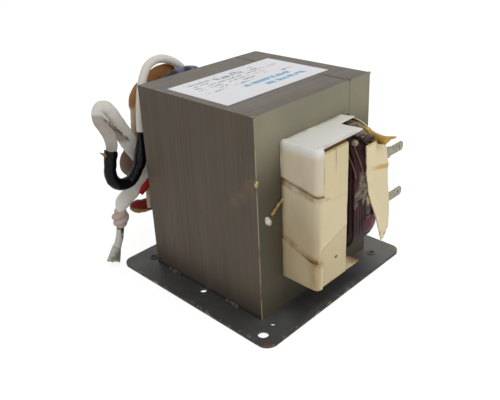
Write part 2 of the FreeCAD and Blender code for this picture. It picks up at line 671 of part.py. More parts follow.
base_plate()
core()
foot_welds()
secondary()
filament()
shunts()
primary()
head_papers()
primary_front()
ground()
label()
leads()
write_parts()
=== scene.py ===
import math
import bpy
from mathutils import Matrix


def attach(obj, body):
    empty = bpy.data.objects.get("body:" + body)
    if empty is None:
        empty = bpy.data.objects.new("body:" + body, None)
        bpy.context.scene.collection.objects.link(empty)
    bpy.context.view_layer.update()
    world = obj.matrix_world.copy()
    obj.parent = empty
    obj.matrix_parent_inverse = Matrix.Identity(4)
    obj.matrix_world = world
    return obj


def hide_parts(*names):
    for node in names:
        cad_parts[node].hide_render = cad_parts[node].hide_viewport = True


bl_info = {
    "name": "Microwave Transformer",
    "version": (1, 0, 0),
    "blender": (4, 5, 0),
    "location": "3D Viewport > Sidebar > Transformer",
    "description": "High voltage transformer of a microwave oven, dressed over its packed frame",
    "category": "Add Mesh",
}

import bmesh
import bpy
from bpy.props import FloatProperty, FloatVectorProperty, IntProperty, PointerProperty
from mathutils import Matrix, Vector, noise

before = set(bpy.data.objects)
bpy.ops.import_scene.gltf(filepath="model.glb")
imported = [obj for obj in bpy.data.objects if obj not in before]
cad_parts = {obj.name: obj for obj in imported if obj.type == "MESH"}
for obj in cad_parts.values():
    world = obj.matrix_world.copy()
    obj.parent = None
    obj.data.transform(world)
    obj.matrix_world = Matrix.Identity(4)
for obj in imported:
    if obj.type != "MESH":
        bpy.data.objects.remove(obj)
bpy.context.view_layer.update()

# Meshes are drawn in millimetres and brought to metres when a piece is finished.
# X runs along the coils' axis, -Y is the side with the tabs, and Z is up.
MM = 0.001
MID_Z = 54.0            # height of the coils' axis
FACE_Y = 40.5           # the core's faces, in front and behind
COIL_OUT_Y = 59.6       # the coils' outer surface, from the axis
COIL_OUT_Z = 34.2
COIL_CORNER = 16.4      # radius of the coils' corners, outside
COIL_BUILD = 15.9       # thickness of the wound layers
PRIMARY_X = (4.6, 24.6)
FILAMENT_X = (-2.75, -0.55)
WRAP_X = (-26.25, -2.75)
WRAP_Z = (19.2, 90.1)
WRAP_FRONT = 60.65      # front of the paper box round the secondary's head, from the axis
CARD_BACK = 60.8        # back of the card in front of it
WRAP_CARD = 61.55       # front of that card, where the wraps lie
HEAD_TOP = 90.25        # underside of the sheet over the head
CORE_X = 43.5           # the core's ends
GAP = 0.15              # air between parts that lie close

# The leads' routes, in metres, from the coil outward
WHITE_LEAD = [
    (0.005, 0.057, 0.09075), (0.004, 0.057, 0.0962), (0.0002, 0.0567, 0.1022),
    (-0.005, 0.0562, 0.1076), (-0.0138, 0.0553, 0.1122), (-0.0212, 0.0545, 0.1128),
    (-0.0272, 0.0535, 0.1108), (-0.031, 0.0524, 0.1062), (-0.0342, 0.0514, 0.1),
    (-0.0362, 0.051, 0.0927), (-0.0372, 0.0507, 0.085), (-0.0379, 0.0507, 0.0775),
]
BLACK_SLEEVE = [
    (-0.0381, 0.0507, 0.0773), (-0.0387, 0.0501, 0.0714), (-0.0404, 0.0492, 0.0644),
    (-0.0442, 0.0487, 0.0572), (-0.0508, 0.0485, 0.0516), (-0.0586, 0.0488, 0.0536),
    (-0.0614, 0.0496, 0.06), (-0.0592, 0.0504, 0.0674), (-0.0577, 0.051, 0.072),
]
LOOP_SLEEVE = [
    (-0.0583, 0.0508, 0.0698), (-0.0562, 0.0514, 0.0748), (-0.0556, 0.0536, 0.0806),
    (-0.0573, 0.0551, 0.0852), (-0.0586, 0.0568, 0.0896), (-0.058, 0.057, 0.0938),
    (-0.0558, 0.0559, 0.095), (-0.0536, 0.0546, 0.0932), (-0.0508, 0.0546, 0.0872),
    (-0.0457, 0.0563, 0.0776), (-0.0406, 0.0574, 0.0684), (-0.0356, 0.0576, 0.0606),
    (-0.0336, 0.0576, 0.053), (-0.0366, 0.0576, 0.046), (-0.0432, 0.0576, 0.0414),
    (-0.0492, 0.0575, 0.0386), (-0.0522, 0.0574, 0.0358), (-0.0532, 0.0574, 0.0326),
]
LOWER_SLEEVE = [
    (-0.0546, 0.0578, 0.0222), (-0.0549, 0.0584, 0.0182), (-0.0552, 0.06, 0.0134),
    (-0.0562, 0.0614, 0.009),
]
BROWN_SLEEVE = [
    (-0.004, 0.0594, 0.09075), (-0.004, 0.0594, 0.0972), (-0.0062, 0.059, 0.1016),
    (-0.0112, 0.0586, 0.1034), (-0.0158, 0.0582, 0.1036), (-0.022, 0.0574, 0.1026),
    (-0.0284, 0.0562, 0.1012), (-0.034, 0.055, 0.0992), (-0.0372, 0.0542, 0.0958),
    (-0.0376, 0.0549, 0.0918), (-0.037, 0.056, 0.0876), (-0.0362, 0.0579, 0.0818),
    (-0.0357, 0.0596, 0.0746), (-0.0361, 0.0612, 0.0672), (-0.0384, 0.0626, 0.0609),
    (-0.042, 0.063, 0.0564), (-0.04, 0.063, 0.0512), (-0.0344, 0.0615, 0.0474),
    (-0.0277, 0.0602, 0.0446),
]
TOP_SLEEVE = [
    (0.012, 0.0536, 0.09075), (0.011, 0.0532, 0.0958), (0.0058, 0.0518, 0.1012),
    (-0.0016, 0.0494, 0.1036), (-0.0094, 0.0476, 0.1044), (-0.0168, 0.0468, 0.1038),
    (-0.0236, 0.0468, 0.1014), (-0.0254, 0.0478, 0.0964), (-0.0204, 0.0482, 0.09075),
]
RED_SLEEVE = [
    (-0.0274, 0.057, 0.0296), (-0.0328, 0.0573, 0.029), (-0.0392, 0.0588, 0.0292),
    (-0.0444, 0.0612, 0.0308),
]
RED_ROOT = [
    (-0.0318, 0.054, 0.0462), (-0.0352, 0.054, 0.0442), (-0.0382, 0.0545, 0.0419),
    (-0.0404, 0.0552, 0.0398),
]
CREAM_STRAND = [
    (-0.0342, 0.0552, 0.0412), (-0.0353, 0.0542, 0.0372), (-0.0358, 0.0536, 0.0334),
    (-0.0362, 0.053, 0.0296),
]
GROUND_WIRE = [
    (-0.02665, -0.0414, 0.0619), (-0.029, -0.0414, 0.0608), (-0.032, -0.0414, 0.0588),
    (-0.03485, -0.0414, 0.0566),
]
SOLDER_AT = Vector((-36.7, -FACE_Y, MID_Z))

# How long the leads' centrelines are, in millimetres
WHITE_SPAN = 79.4
BLACK_SPAN = 56.2
LOOP_SPAN = 105.2
LOWER_SPAN = 13.8
BROWN_SPAN = 105.6
TOP_SPAN = 54.9
RED_SPAN = 17.2         # as packed

WHITE = (1.0, 1.0, 1.0)


def srgb(red, green, blue):
    """A colour written as 0 to 255, in the linear numbers that Blender keeps."""
    parts = (part / 255 for part in (red, green, blue))
    return tuple(part / 12.92 if part < 0.04045 else ((part + 0.055) / 1.055) ** 2.4 for part in parts)


def colour(name, description, red, green, blue):
    return FloatVectorProperty(
        name=name, description=description, subtype="COLOR", size=3, min=0.0, max=1.0,
        default=srgb(red, green, blue),
    )


def length(name, description, millimetres):
    return FloatProperty(
        name=name, description=description, default=millimetres * MM, min=0.0, precision=5,
        subtype="DISTANCE", unit="LENGTH",
    )


class TransformerSizes(bpy.types.PropertyGroup):
    """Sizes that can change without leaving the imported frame."""

    paper: length("Paper", "Thickness of the insulating paper", 0.5)
    card: length("Card", "Thickness of the cards in front of the heads", 0.8)
    flap: length("Flap", "How far a folded flap of paper stands out", 0.9)
    strand: length("Strand", "Diameter of one strand of the soldered end", 0.8)
    white_lead: length("White lead", "Diameter of the white sleeved lead", 4.6)
    black_sleeve: length("Black sleeve", "Diameter of the black sleeve", 6.6)
    loop_width: length("Loop width", "Width of the sleeve that is pressed flat", 8.6)
    loop_thickness: length("Loop thickness", "Thickness of that sleeve", 1.8)
    lower_sleeve: length("Lower sleeve", "Diameter of the sleeve below the knot", 4.4)
    brown_sleeve: length("Brown sleeve", "Diameter of the sleeve soaked with varnish", 5.4)
    top_sleeve: length("Top sleeve", "Diameter of the speckled sleeve over the rear head", 5.4)
    red_sleeve: length("Red sleeve", "Diameter of the red sleeve's end", 6.4)
    frayed: length("Frayed end", "Width of the frayed end where it opens", 7.4)
    turns: IntProperty(name="Turns", description="Primary turns side by side", default=9, min=4, max=20)


class TransformerColours(bpy.types.PropertyGroup):
    """Colours of the transformer's materials."""

    edges: colour("Lamination edges", "Edges of the stacked sheets", 90, 79, 67)
    # Painted light: a lighter copy of the lamination edges' colour for the stack's top
    stack_top: colour("Stack top", "Top edges of the stacked sheets", 114, 107, 99)
    sheet: colour("Lamination face", "Flat face of the stack, under varnish", 143, 138, 116)
    plate: colour("Plate", "Base plate", 80, 81, 81)
    paper: colour("Paper", "White insulating paper", 238, 238, 230)
    # Varnish colour, also used for painted shade under the upper flap's edge
    card: colour("Card", "Cream insulating card", 228, 212, 170)
    stain: colour("Stain", "Varnish soaked into paper", 150, 108, 50)
    varnish: colour("Varnish", "Golden varnish on the curled paper", 196, 152, 44)
    enamel: colour("Enamel", "Enamel of the primary's wire", 44, 17, 22)
    # Painted highlight colour for the primary's strands
    enamel_light: colour("Light enamel", "Paler strands of the primary", 98, 46, 46)
    crust: colour("Crust", "Varnish crust and lacing on the primary", 134, 116, 84)
    fine_wire: colour("Fine wire", "Wire of the secondary", 150, 70, 40)
    filament: colour("Filament wire", "Insulation of the filament winding", 160, 40, 30)
    tin: colour("Tab metal", "Tinned brass of the tabs", 176, 168, 148)
    bare: colour("Bare wire", "Soldered end of the secondary", 190, 156, 92)
    solder: colour("Solder", "Solder on the core's face", 214, 212, 204)
    label: colour("Label", "Paper of the label", 236, 236, 240)
    print_dark: colour("Dark print", "Rows of small dashes on the label", 54, 52, 60)
    print_blue: colour("Blue print", "Rows of blue blocks on the label", 72, 160, 196)
    sleeve: colour("White sleeve", "Woven glass sleeve", 240, 236, 226)
    pink: colour("Pink stain", "Stain of the knotted sleeve", 210, 188, 176)
    brown: colour("Brown sleeve", "Sleeve soaked with varnish", 158, 108, 58)
    black: colour("Black sleeve", "Black sleeving", 11, 11, 15)
    red: colour("Red sleeve", "Red sleeving", 128, 20, 12)
    floor: colour("Floor", "Studio floor", 236, 236, 236)


class Value:
    """A value, colour or shader in a node tree. Python's operators add Math nodes to it."""

    def __init__(self, nodes, socket):
        self.nodes = nodes
        self.socket = socket

    def math(self, operation, *values):
        return self.nodes.node("ShaderNodeMath", {"operation": operation}, dict(enumerate(values)))

    def __add__(self, other):
        return self.math("ADD", self, other)

    def __sub__(self, other):
        return self.math("SUBTRACT", self, other)

    def __rsub__(self, other):
        return self.math("SUBTRACT", other, self)

    def __mul__(self, other):
        return self.math("MULTIPLY", self, other)

    def __gt__(self, other):
        return self.math("GREATER_THAN", self, other)

    def __abs__(self):
        return self.math("ABSOLUTE", self)

    def wave(self):
        """The sine of the value, as turns."""
        return self.math("SINE", self * (2 * math.pi))

    def larger(self, other):
        return self.math("MAXIMUM", self, other)

    __radd__ = __add__
    __rmul__ = __mul__


class Nodes:
    """A node tree and the ways to add nodes to it."""

    def __init__(self, tree):
        self.tree = tree

    def node(self, kind, settings=None, sockets=None, output=0):
        """Add a node: its settings first, then the values or links of its sockets."""
        node = self.tree.nodes.new(kind)
        for setting, value in (settings or {}).items():
            setattr(node, setting, value)
        for key, value in (sockets or {}).items():
            socket = node.inputs[key]
            if isinstance(value, Value):
                self.tree.links.new(value.socket, socket)
            elif socket.type == "RGBA":
                socket.default_value = (*value, 1.0)
            else:
                socket.default_value = value
        return Value(self, node.outputs[output])

    def seen(self):
        """1 where the camera looks, straight or by way of gloss or glass."""
        camera = self.node("ShaderNodeLightPath", output="Is Camera Ray")
        glossy = self.node("ShaderNodeLightPath", output="Is Glossy Ray")
        through = self.node("ShaderNodeLightPath", output="Is Transmission Ray")
        return camera.larger(glossy).larger(through)

    def surface(self, shader, output):
        self.tree.links.new(shader.socket, self.tree.nodes[output].inputs["Surface"])


class Finish(Nodes):
    """A procedural material, with masks and patterns in millimetres on the object."""

    def __init__(self, name, constants):
        self.material = bpy.data.materials.new("dressed_" + name)
        self.material.use_nodes = True
        super().__init__(self.material.node_tree)
        self.shader = self.tree.nodes["Principled BSDF"]
        self.shader.inputs["Specular IOR Level"].default_value = 0.3
        for socket, number in constants.items():
            self.shader.inputs[socket].default_value = number
        self.base = None
        self.place = self.node("ShaderNodeTexCoord", output="Object")
        apart = [self.node("ShaderNodeSeparateXYZ", sockets={0: self.place}, output=i) for i in range(3)]
        self.x, self.y, self.z = (value * (1 / MM) for value in apart)

    def mix(self, factor, first, second):
        """Blend two colours."""
        settings = {"data_type": "RGBA", "clamp_factor": True}
        return self.node("ShaderNodeMix", settings, {0: factor, 6: first, 7: second}, output=2)

    def paint(self, mask, over):
        """Lay a colour over the base colour where the mask is 1."""
        self.base = self.mix(mask, self.base, over)

    def rise(self, value, low, high):
        """0 below low, 1 above high, and a soft climb between them; falls if low is above high."""
        settings = {"interpolation_type": "SMOOTHSTEP"}
        if low > high:
            return 1 - self.rise(value, high, low)
        return self.node("ShaderNodeMapRange", settings, {0: value, 1: low, 2: high, 3: 0.0, 4: 1.0})

    def band(self, value, low, high, soft):
        """1 between low and high, with soft sides."""
        return self.rise(value, low - soft, low + soft) * self.rise(value, high + soft, high - soft)

    def noise(self, size, stretch=(1.0, 1.0, 1.0), detail=3.0, shift=0.0):
        """Noise whose spots are about size millimetres across, times stretch."""
        scale = tuple(1 / part for part in stretch)
        where = self.node("ShaderNodeMapping", {}, {
            "Vector": self.place, "Scale": scale, "Location": (shift, shift, shift),
        })
        sockets = {"Vector": where, "Scale": 0.6 / (size * MM), "Detail": detail}
        return self.node("ShaderNodeTexNoise", {}, sockets)

    def clouds(self, low, high, *where, **more):
        """A soft climb over noise."""
        return self.rise(self.noise(*where, **more), low, high)

    def spots(self, size, share, stretch=(1.0, 1.0, 1.0), shift=0.0):
        """Scattered spots that cover about that share of the surface."""
        low = 0.5 + (0.5 - share) * 0.55
        return self.rise(self.noise(size, stretch, 2.0, shift), low, low + 0.05)

    def near(self, point, reach):
        """1 at a point, falling to 0 at reach millimetres from it."""
        away = self.node("ShaderNodeVectorMath", {"operation": "DISTANCE"}, {
            0: self.place, 1: tuple(part * MM for part in point),
        }, output="Value")
        return self.rise(away, reach * MM, 0.0)

    def feed(self, socket, value):
        self.tree.links.new(value.socket, self.shader.inputs[socket])

    def bump(self, height, depth):
        """Raise the surface by height, from 0 to 1, times depth in millimetres."""
        normal = self.node("ShaderNodeBump", {}, {"Height": height, "Distance": depth * MM, "Strength": 1.0})
        self.feed("Normal", normal)


def colours():
    return bpy.context.scene.transformer_colours


def sizes():
    """The sizes, in millimetres."""
    group = bpy.context.scene.transformer_sizes
    return {name: getattr(group, name) / MM for name in group.__annotations__ if name != "turns"}


def tint(rgb, factor):
    return tuple(min(1.0, part * factor) for part in rgb)


def material(constants):
    """Turn a painter into a maker of its material, which is made the first time that a piece asks for it.
    Where one painter serves several materials, the maker's first argument is the name."""
    def wrap(painter):
        def maker(*arguments):
            name = arguments[0] if arguments else painter.__name__
            made = bpy.data.materials.get("dressed_" + name)
            if made:
                return made
            m = Finish(name, constants)
            painter(m, colours(), *arguments[1:])
            m.feed("Base Color", m.base)
            return m.material
        return maker
    return wrap


@material({"Roughness": 0.55})
def lamination_steel(m, c):
    """Stack of steel sheets under brown varnish: lined edges, and a plain face in front and behind."""
    apart = m.node("ShaderNodeNewGeometry", output="Normal")
    across, upward = (m.node("ShaderNodeSeparateXYZ", sockets={0: apart}, output=i) for i in (1, 2))
    flat = abs(across) > 0.7
    above = upward > 0.7
    lines = m.noise(0.9, (60.0, 1.0, 60.0), 2.0)
    wide_lines = m.noise(5.0, (14.0, 1.0, 14.0), 2.0, 3.0)
    cloud = m.noise(18.0, (1.0, 1.0, 1.6), 4.0)
    # Painted light: the top edges take the lighter copy, as if lit from above
    m.base = m.mix(above, c.edges, c.stack_top)
    m.paint(m.rise(lines, 0.35, 0.65) * 0.32, tint(c.edges, 0.5))
    m.paint(m.rise(wide_lines, 0.35, 0.7) * 0.16, tint(c.edges, 0.5))
    m.paint(m.rise(cloud, 0.5, 0.72) * 0.4, srgb(100, 76, 68))
    m.paint(m.clouds(0.5, 0.7, 20.0, shift=9.0) * 0.3, srgb(92, 84, 62))
    # Painted shade with darker varnish towards the plate, and a painted contact shadow, nearly black, in the
    # last few millimetres above it
    m.paint(m.rise(m.z, 24.0, 1.5) * 0.6, srgb(46, 40, 37))
    m.paint(m.rise(m.z, 4.2, 1.8) * 0.75, srgb(22, 19, 18))
    specks = m.spots(0.8, 0.06, (1.0, 1.0, 3.0)) * m.clouds(0.5, 0.6, 14.0)
    m.paint(specks * 0.45, srgb(164, 148, 120))
    dark_specks = m.spots(1.0, 0.06, (1.0, 1.0, 3.0), 7.0) * m.clouds(0.5, 0.6, 12.0, shift=2.0)
    m.paint(dark_specks * 0.8, srgb(40, 34, 30))
    smear = m.near((-43.5, -37.0, 73.0), 7.0) + m.near((-43.5, -31.0, 67.0), 6.5)
    smear = smear + m.near((-43.5, -26.0, 62.0), 5.0)
    m.paint(smear * m.clouds(0.3, 0.6, 3.0) * 0.45, srgb(120, 98, 70))
    edges = m.base
    m.base = m.mix(m.clouds(0.35, 0.7, 16.0, (1.0, 1.0, 1.5), 4.0), tint(c.sheet, 0.9), tint(c.sheet, 1.05))
    m.paint(m.clouds(0.45, 0.7, 24.0, shift=5.0) * 0.3, srgb(124, 122, 112))
    # Painted shade from the paper box, with darker varnish: the flat face darkens towards the bottom
    m.paint(m.rise(m.z, 100.0, 64.0) * 0.86, srgb(62, 56, 43))
    m.paint(m.band(m.x, 25.8, 26.1, 0.15) * 0.8, srgb(40, 36, 30))
    m.paint(m.spots(0.7, 0.03) * 0.7, srgb(60, 54, 44))
    m.paint(m.spots(0.6, 0.012, shift=3.0) * 0.8, srgb(206, 200, 184))
    rim = m.rise(m.x, -42.6, -43.2)
    m.paint(rim * m.clouds(0.3, 0.5, 2.5, (1.0, 1.0, 3.0)) * 0.8, srgb(168, 158, 132))
    m.base = m.mix(flat, edges, m.base)
    m.feed("Roughness", 0.5 + 0.16 * m.noise(6.0))
    m.bump(lines * (1 - flat) * 0.7 + 0.3 * m.noise(3.0) * flat, 0.1)


@material({"Roughness": 0.5, "Metallic": 0.1})
def plate_steel(m, c):
    """Dark slate plate with worn pale specks, a brown edge and some rust at its corners, painted shade
    beside the core's left face and in front of the paper box, and a painted sheen towards its right end.
    """
    m.base = m.mix(m.clouds(0.35, 0.7, 9.0, detail=5.0), tint(c.plate, 0.82), tint(c.plate, 1.14))
    # Painted shade on the plate beside the core's left face
    m.paint(m.rise(m.x, -20.0, -52.0) * m.rise(m.y, -44.0, -36.0) * 0.55, srgb(50, 48, 46))
    # Painted shadow on the plate in front of the paper box
    under = m.band(m.x, -27.0, 20.0, 8.0) * m.rise(m.y, -55.8, -52.0) * m.rise(m.y, -40.0, -44.0)
    m.paint(under * 0.6, srgb(40, 35, 31))
    # Painted sheen: the plate lightens towards its right end
    m.paint(m.rise(m.x, 26.0, 46.0) * 0.5, srgb(124, 120, 112))
    reach = abs(m.x).larger(abs(m.y))
    edge = m.rise(reach, 54.8, 56.2)
    scuffs = m.spots(0.9, 0.1) * m.clouds(0.48, 0.6, 10.0, shift=5.0)
    m.paint(scuffs * 0.5, srgb(150, 148, 142))
    m.paint(m.spots(1.3, 0.36, shift=3.0) * edge * 0.55, srgb(140, 130, 118))
    side = m.rise(reach, 56.7, 56.95)
    m.paint(side * 0.85, srgb(40, 34, 30))
    m.paint(side * m.spots(2.4, 0.36, shift=9.0) * 0.7, srgb(150, 126, 110))
    rust = m.near((-56.5, -56.5, 1.0), 8.0) * m.clouds(0.35, 0.55, 3.0)
    m.paint(rust, srgb(112, 74, 52))
    corner = m.near((55.5, -55.5, 1.4), 5.5) * m.clouds(0.25, 0.45, 2.4, shift=1.0)
    m.paint(corner, srgb(136, 114, 80))
    stain = m.near((-42.5, 46.0, 1.5), 3.4)
    m.paint(stain * 0.8, srgb(30, 28, 28))
    m.feed("Roughness", 0.42 + 0.2 * m.noise(5.0))
    m.bump(m.noise(1.4, detail=4.0), 0.1)


@material({"Roughness": 0.6, "Metallic": 0.2})
def weld_metal(m, c):
    """Rough weld metal, brown with varnish."""
    m.base = m.mix(m.clouds(0.35, 0.65, 1.8), srgb(46, 40, 36), srgb(96, 86, 74))
    m.bump(m.noise(0.9, (1.0, 1.4, 1.0)), 0.15)


@material({"Roughness": 0.78})
def insulating_paper(m, c):
    """White paper, warmer at its sides, soaked brown along the folds, at the core and down the corner; the
    brown under the upper flap's edge is partly painted shade, and the gap over the cards and the card's hole
    get painted shade.
    """
    m.base = m.mix(m.clouds(0.35, 0.7, 12.0, detail=4.0), tint(c.paper, 0.95), c.paper)
    below = m.rise(m.z, 89.8, 86.0)
    m.paint(below * 0.75, srgb(214, 197, 160))
    m.paint(m.rise(m.z, 78.0, 40.0) * m.rise(m.x, -22.0, -26.0) * 0.7, srgb(180, 160, 118))
    m.paint(m.rise(m.z, 72.0, 62.0) * m.rise(m.x, -26.2, -24.0) * 0.7, c.card)
    blush = m.clouds(0.5, 0.7, 9.0, (1.0, 1.0, 2.6), shift=2.0)
    m.paint(blush * below * 0.22, srgb(180, 150, 126))
    # Below the upper flap's edge the varnish stain is also painted shade under the flap; the band over the
    # lower wrap's edge is stain
    upper = 72.9 + (m.y + 42.7) * 0.183
    stain_and_shade_under_flap = m.band(m.z - upper, -4.2, 0.2, 1.0)
    lower = 39.7 + (m.y + 43.1) * 0.375
    over_lower = m.band(m.z - lower, -0.4, 3.0, 1.0)
    stain = (stain_and_shade_under_flap + over_lower) * m.clouds(0.26, 0.66, 3.0, detail=4.0, shift=4.0) * 0.8
    corner = m.band(m.y, -61.5, -56.5, 1.6) * m.rise(m.z, 42.0, 30.0) * m.clouds(0.35, 0.6, 5.0)
    near_core = m.rise(m.y, -43.5, -41.0) * m.clouds(0.4, 0.6, 6.0, (1.0, 1.0, 2.0), shift=6.0)
    m.paint((stain + corner * 0.5 + near_core * 0.6) * 0.8, c.stain)
    # Painted shade in the narrow gap above the cards, under the top sheet's edge, in a dark varnish brown
    painted_shade_gap = m.rise(m.y, -59.0, -60.0) * m.rise(m.x, -21.5, -20.0) * m.band(m.z, 88.0, 90.6, 0.4)
    m.paint(painted_shade_gap, srgb(112, 72, 30))
    # Painted shade: black on the box behind the front card's hole, as if the hole were deep
    m.paint(m.near((-12.0, -60.65, 31.2), 4.0) * 3.0, srgb(16, 12, 8))
    tip = m.rise(m.x, 2.0, 9.0) * m.rise(m.z, 30.0, 20.0)
    m.paint(tip * m.clouds(0.3, 0.5, 3.0, shift=8.0), srgb(150, 112, 58))
    m.bump(m.noise(1.0, detail=5.0) + 0.6 * m.noise(7.0), 0.12)


@material({"Roughness": 0.7})
def insulating_card(m, c):
    """Cream card with a whiter band across its middle, stains and a bright cut edge, and painted shade in
    the stain colour under the upper card's edge and the middle band's edge.
    """
    m.base = m.mix(m.clouds(0.35, 0.7, 14.0, (1.0, 1.0, 1.8), 4.0), tint(c.card, 0.92), tint(c.card, 1.05))
    on_secondary = m.rise(m.x, -1.5, -2.5)
    on_primary = m.rise(m.x, 8.0, 9.0) * m.rise(m.y, -57.0, -59.0)
    m.paint(m.rise(m.z, 60.0, 24.0) * on_secondary * 0.75, srgb(198, 182, 144))
    upper = 63.4 + m.rise(m.x, -12.0, -26.0) * 5.0
    # Painted shade with stain below the upper card's edge
    under = m.band(m.z - upper, -3.4, -0.2, 1.6) * m.rise(m.x, -3.0, -18.0) * on_secondary
    lower = 45.6 - m.rise(m.x, -12.0, -30.0) * 6.0
    shade = m.band(m.z - lower, -2.6, 0.0, 1.4) * m.rise(m.x, -8.0, -24.0) * on_secondary
    corner = m.band(m.x, -27.0, -22.0, 1.5) * m.rise(m.z, 42.0, 30.0) * on_secondary
    foot = m.rise(m.z, 22.0, 19.5) * m.clouds(0.4, 0.6, 2.0) * on_secondary
    # The stain colour is painted shade as well as stain below the band edges, and stain only at the corner
    # and the foot
    stain = under * 0.6 + shade * 0.65 + corner * 0.4 + foot * 0.35
    m.paint(stain * m.clouds(0.34, 0.62, 3.4, detail=4.0, shift=3.0), srgb(176, 138, 74))
    m.paint(on_primary * 0.45, srgb(240, 226, 190))
    fold = m.band(m.z - (66.7 - (m.x - 23.0) * 0.2), -2.2, 0.3, 0.8) * on_primary
    m.paint(fold * m.rise(m.x, 14.0, 26.0) * 0.8, srgb(204, 164, 78))
    top_edge = m.rise(m.z, 79.0, 80.4) * on_primary * m.clouds(0.4, 0.6, 4.0)
    m.paint(top_edge * 0.6, srgb(186, 140, 60))
    tip = m.rise(m.z, 32.0, 26.0) * on_primary * m.spots(1.6, 0.4)
    m.paint(tip * 0.7, srgb(168, 136, 76))
    m.bump(m.noise(0.9, detail=4.0) + 0.5 * m.noise(8.0), 0.1)


@material({"Roughness": 0.4, "Specular IOR Level": 0.2, "Coat Weight": 0.05})
def enamelled_wire(m, c, base_rgb, highlight_rgb):
    """Enamel, dark where varnish lies between the wires, with paler streaks that are painted highlights."""
    highlight_streaks = m.noise(1.6, (1.0, 8.0, 8.0), 3.0)
    # Painted highlight: streaks mix towards the paler colour
    m.base = m.mix(m.rise(highlight_streaks, 0.52, 0.74) * 0.7, base_rgb, highlight_rgb)
    m.paint(m.clouds(0.45, 0.65, 7.0, shift=3.0) * 0.6, tint(base_rgb, 0.35))
    m.feed("Roughness", 0.3 + 0.3 * m.noise(3.0))
    m.bump(m.noise(0.8), 0.08)


@material({"Roughness": 0.45, "Coat Weight": 0.15})
def varnish_crust(m, c):
    """Lumpy tan and olive varnish with pale and dark specks."""
    m.base = m.mix(m.clouds(0.42, 0.66, 2.2, detail=4.0), srgb(46, 26, 26), tint(c.crust, 0.8))
    m.paint(m.near((17.0, -60.4, 50.4), 4.6), srgb(200, 184, 134))
    m.paint(m.near((6.4, -58.6, 84.0), 3.6) * 0.7, srgb(176, 158, 132))
    m.paint(m.spots(0.8, 0.16, shift=4.0), srgb(204, 194, 172))
    m.paint(m.spots(0.8, 0.2, shift=8.0) * 0.9, srgb(36, 22, 22))
    m.paint(m.rise(m.z + 2.0 * m.noise(2.0), 43.5, 41.0), srgb(78, 26, 34))
    m.bump(m.noise(1.2, detail=4.0), 0.2)


@material({"Roughness": 0.32, "Coat Weight": 0.3, "Coat Roughness": 0.1})
def golden_varnish(m, c):
    """Clear varnish over paper: golden where it stands free, brown where it lies on the wires."""
    free = m.mix(m.clouds(0.35, 0.65, 3.0, detail=4.0), tint(c.varnish, 0.6), tint(c.varnish, 1.15))
    crusted = m.mix(m.clouds(0.42, 0.6, 1.4, detail=4.0), srgb(52, 32, 22), srgb(128, 100, 56))
    crusted = m.mix(m.spots(0.8, 0.18, shift=3.0), crusted, srgb(206, 198, 178))
    m.base = m.mix(m.rise(m.x + 2.0 * m.noise(2.0), 21.8, 23.0), crusted, free)
    m.bump(m.noise(1.6), 0.2)


@material({"Roughness": 0.25, "Coat Weight": 0.3})
def dried_drop(m, c):
    """Drops of varnish on the steel."""
    m.base = m.mix(m.clouds(0.4, 0.6, 1.0), srgb(96, 80, 58), srgb(206, 182, 122))


@material({"Metallic": 0.3, "Roughness": 0.4})
def tab_metal(m, c):
    """Tinned brass, dull and speckled, with varnish at the tab's root."""
    m.base = m.mix(m.clouds(0.4, 0.65, 1.2, detail=5.0), tint(c.tin, 0.68), tint(c.tin, 0.98))
    m.paint(m.spots(0.8, 0.16, shift=2.0) * 0.6, srgb(120, 108, 90))
    root = m.rise(m.x + 3.0 * m.noise(3.0), 34.0, 31.0)
    upper = m.rise(m.z, 55.0, 60.0)
    m.paint(root * upper * 0.85, srgb(140, 112, 50))
    m.paint(root * (1 - upper) * 0.75, srgb(96, 92, 92))
    m.feed("Roughness", 0.3 + 0.3 * m.noise(1.2, shift=5.0))
    m.bump(m.noise(0.8), 0.08)


@material({"Metallic": 0.5, "Roughness": 0.36, "Coat Weight": 0.2})
def bare_wire(m, c):
    """Copper strands, tinned in places, golden under varnish, with dark dirt between them."""
    m.base = m.mix(m.clouds(0.4, 0.62, 1.0, detail=3.0), tint(c.bare, 0.6), tint(c.bare, 1.1))
    m.paint(m.spots(1.0, 0.2, shift=3.0), srgb(58, 38, 22))
    m.paint(m.spots(0.9, 0.12, shift=6.0), srgb(236, 220, 180))
    m.bump(m.noise(0.5), 0.06)


@material({"Metallic": 0.6, "Roughness": 0.42})
def solder_metal(m, c):
    """Dull solder with a frosted skin."""
    m.base = m.mix(m.clouds(0.4, 0.65, 1.6, detail=4.0), tint(c.solder, 0.6), c.solder)
    m.bump(m.noise(1.1, detail=4.0), 0.15)


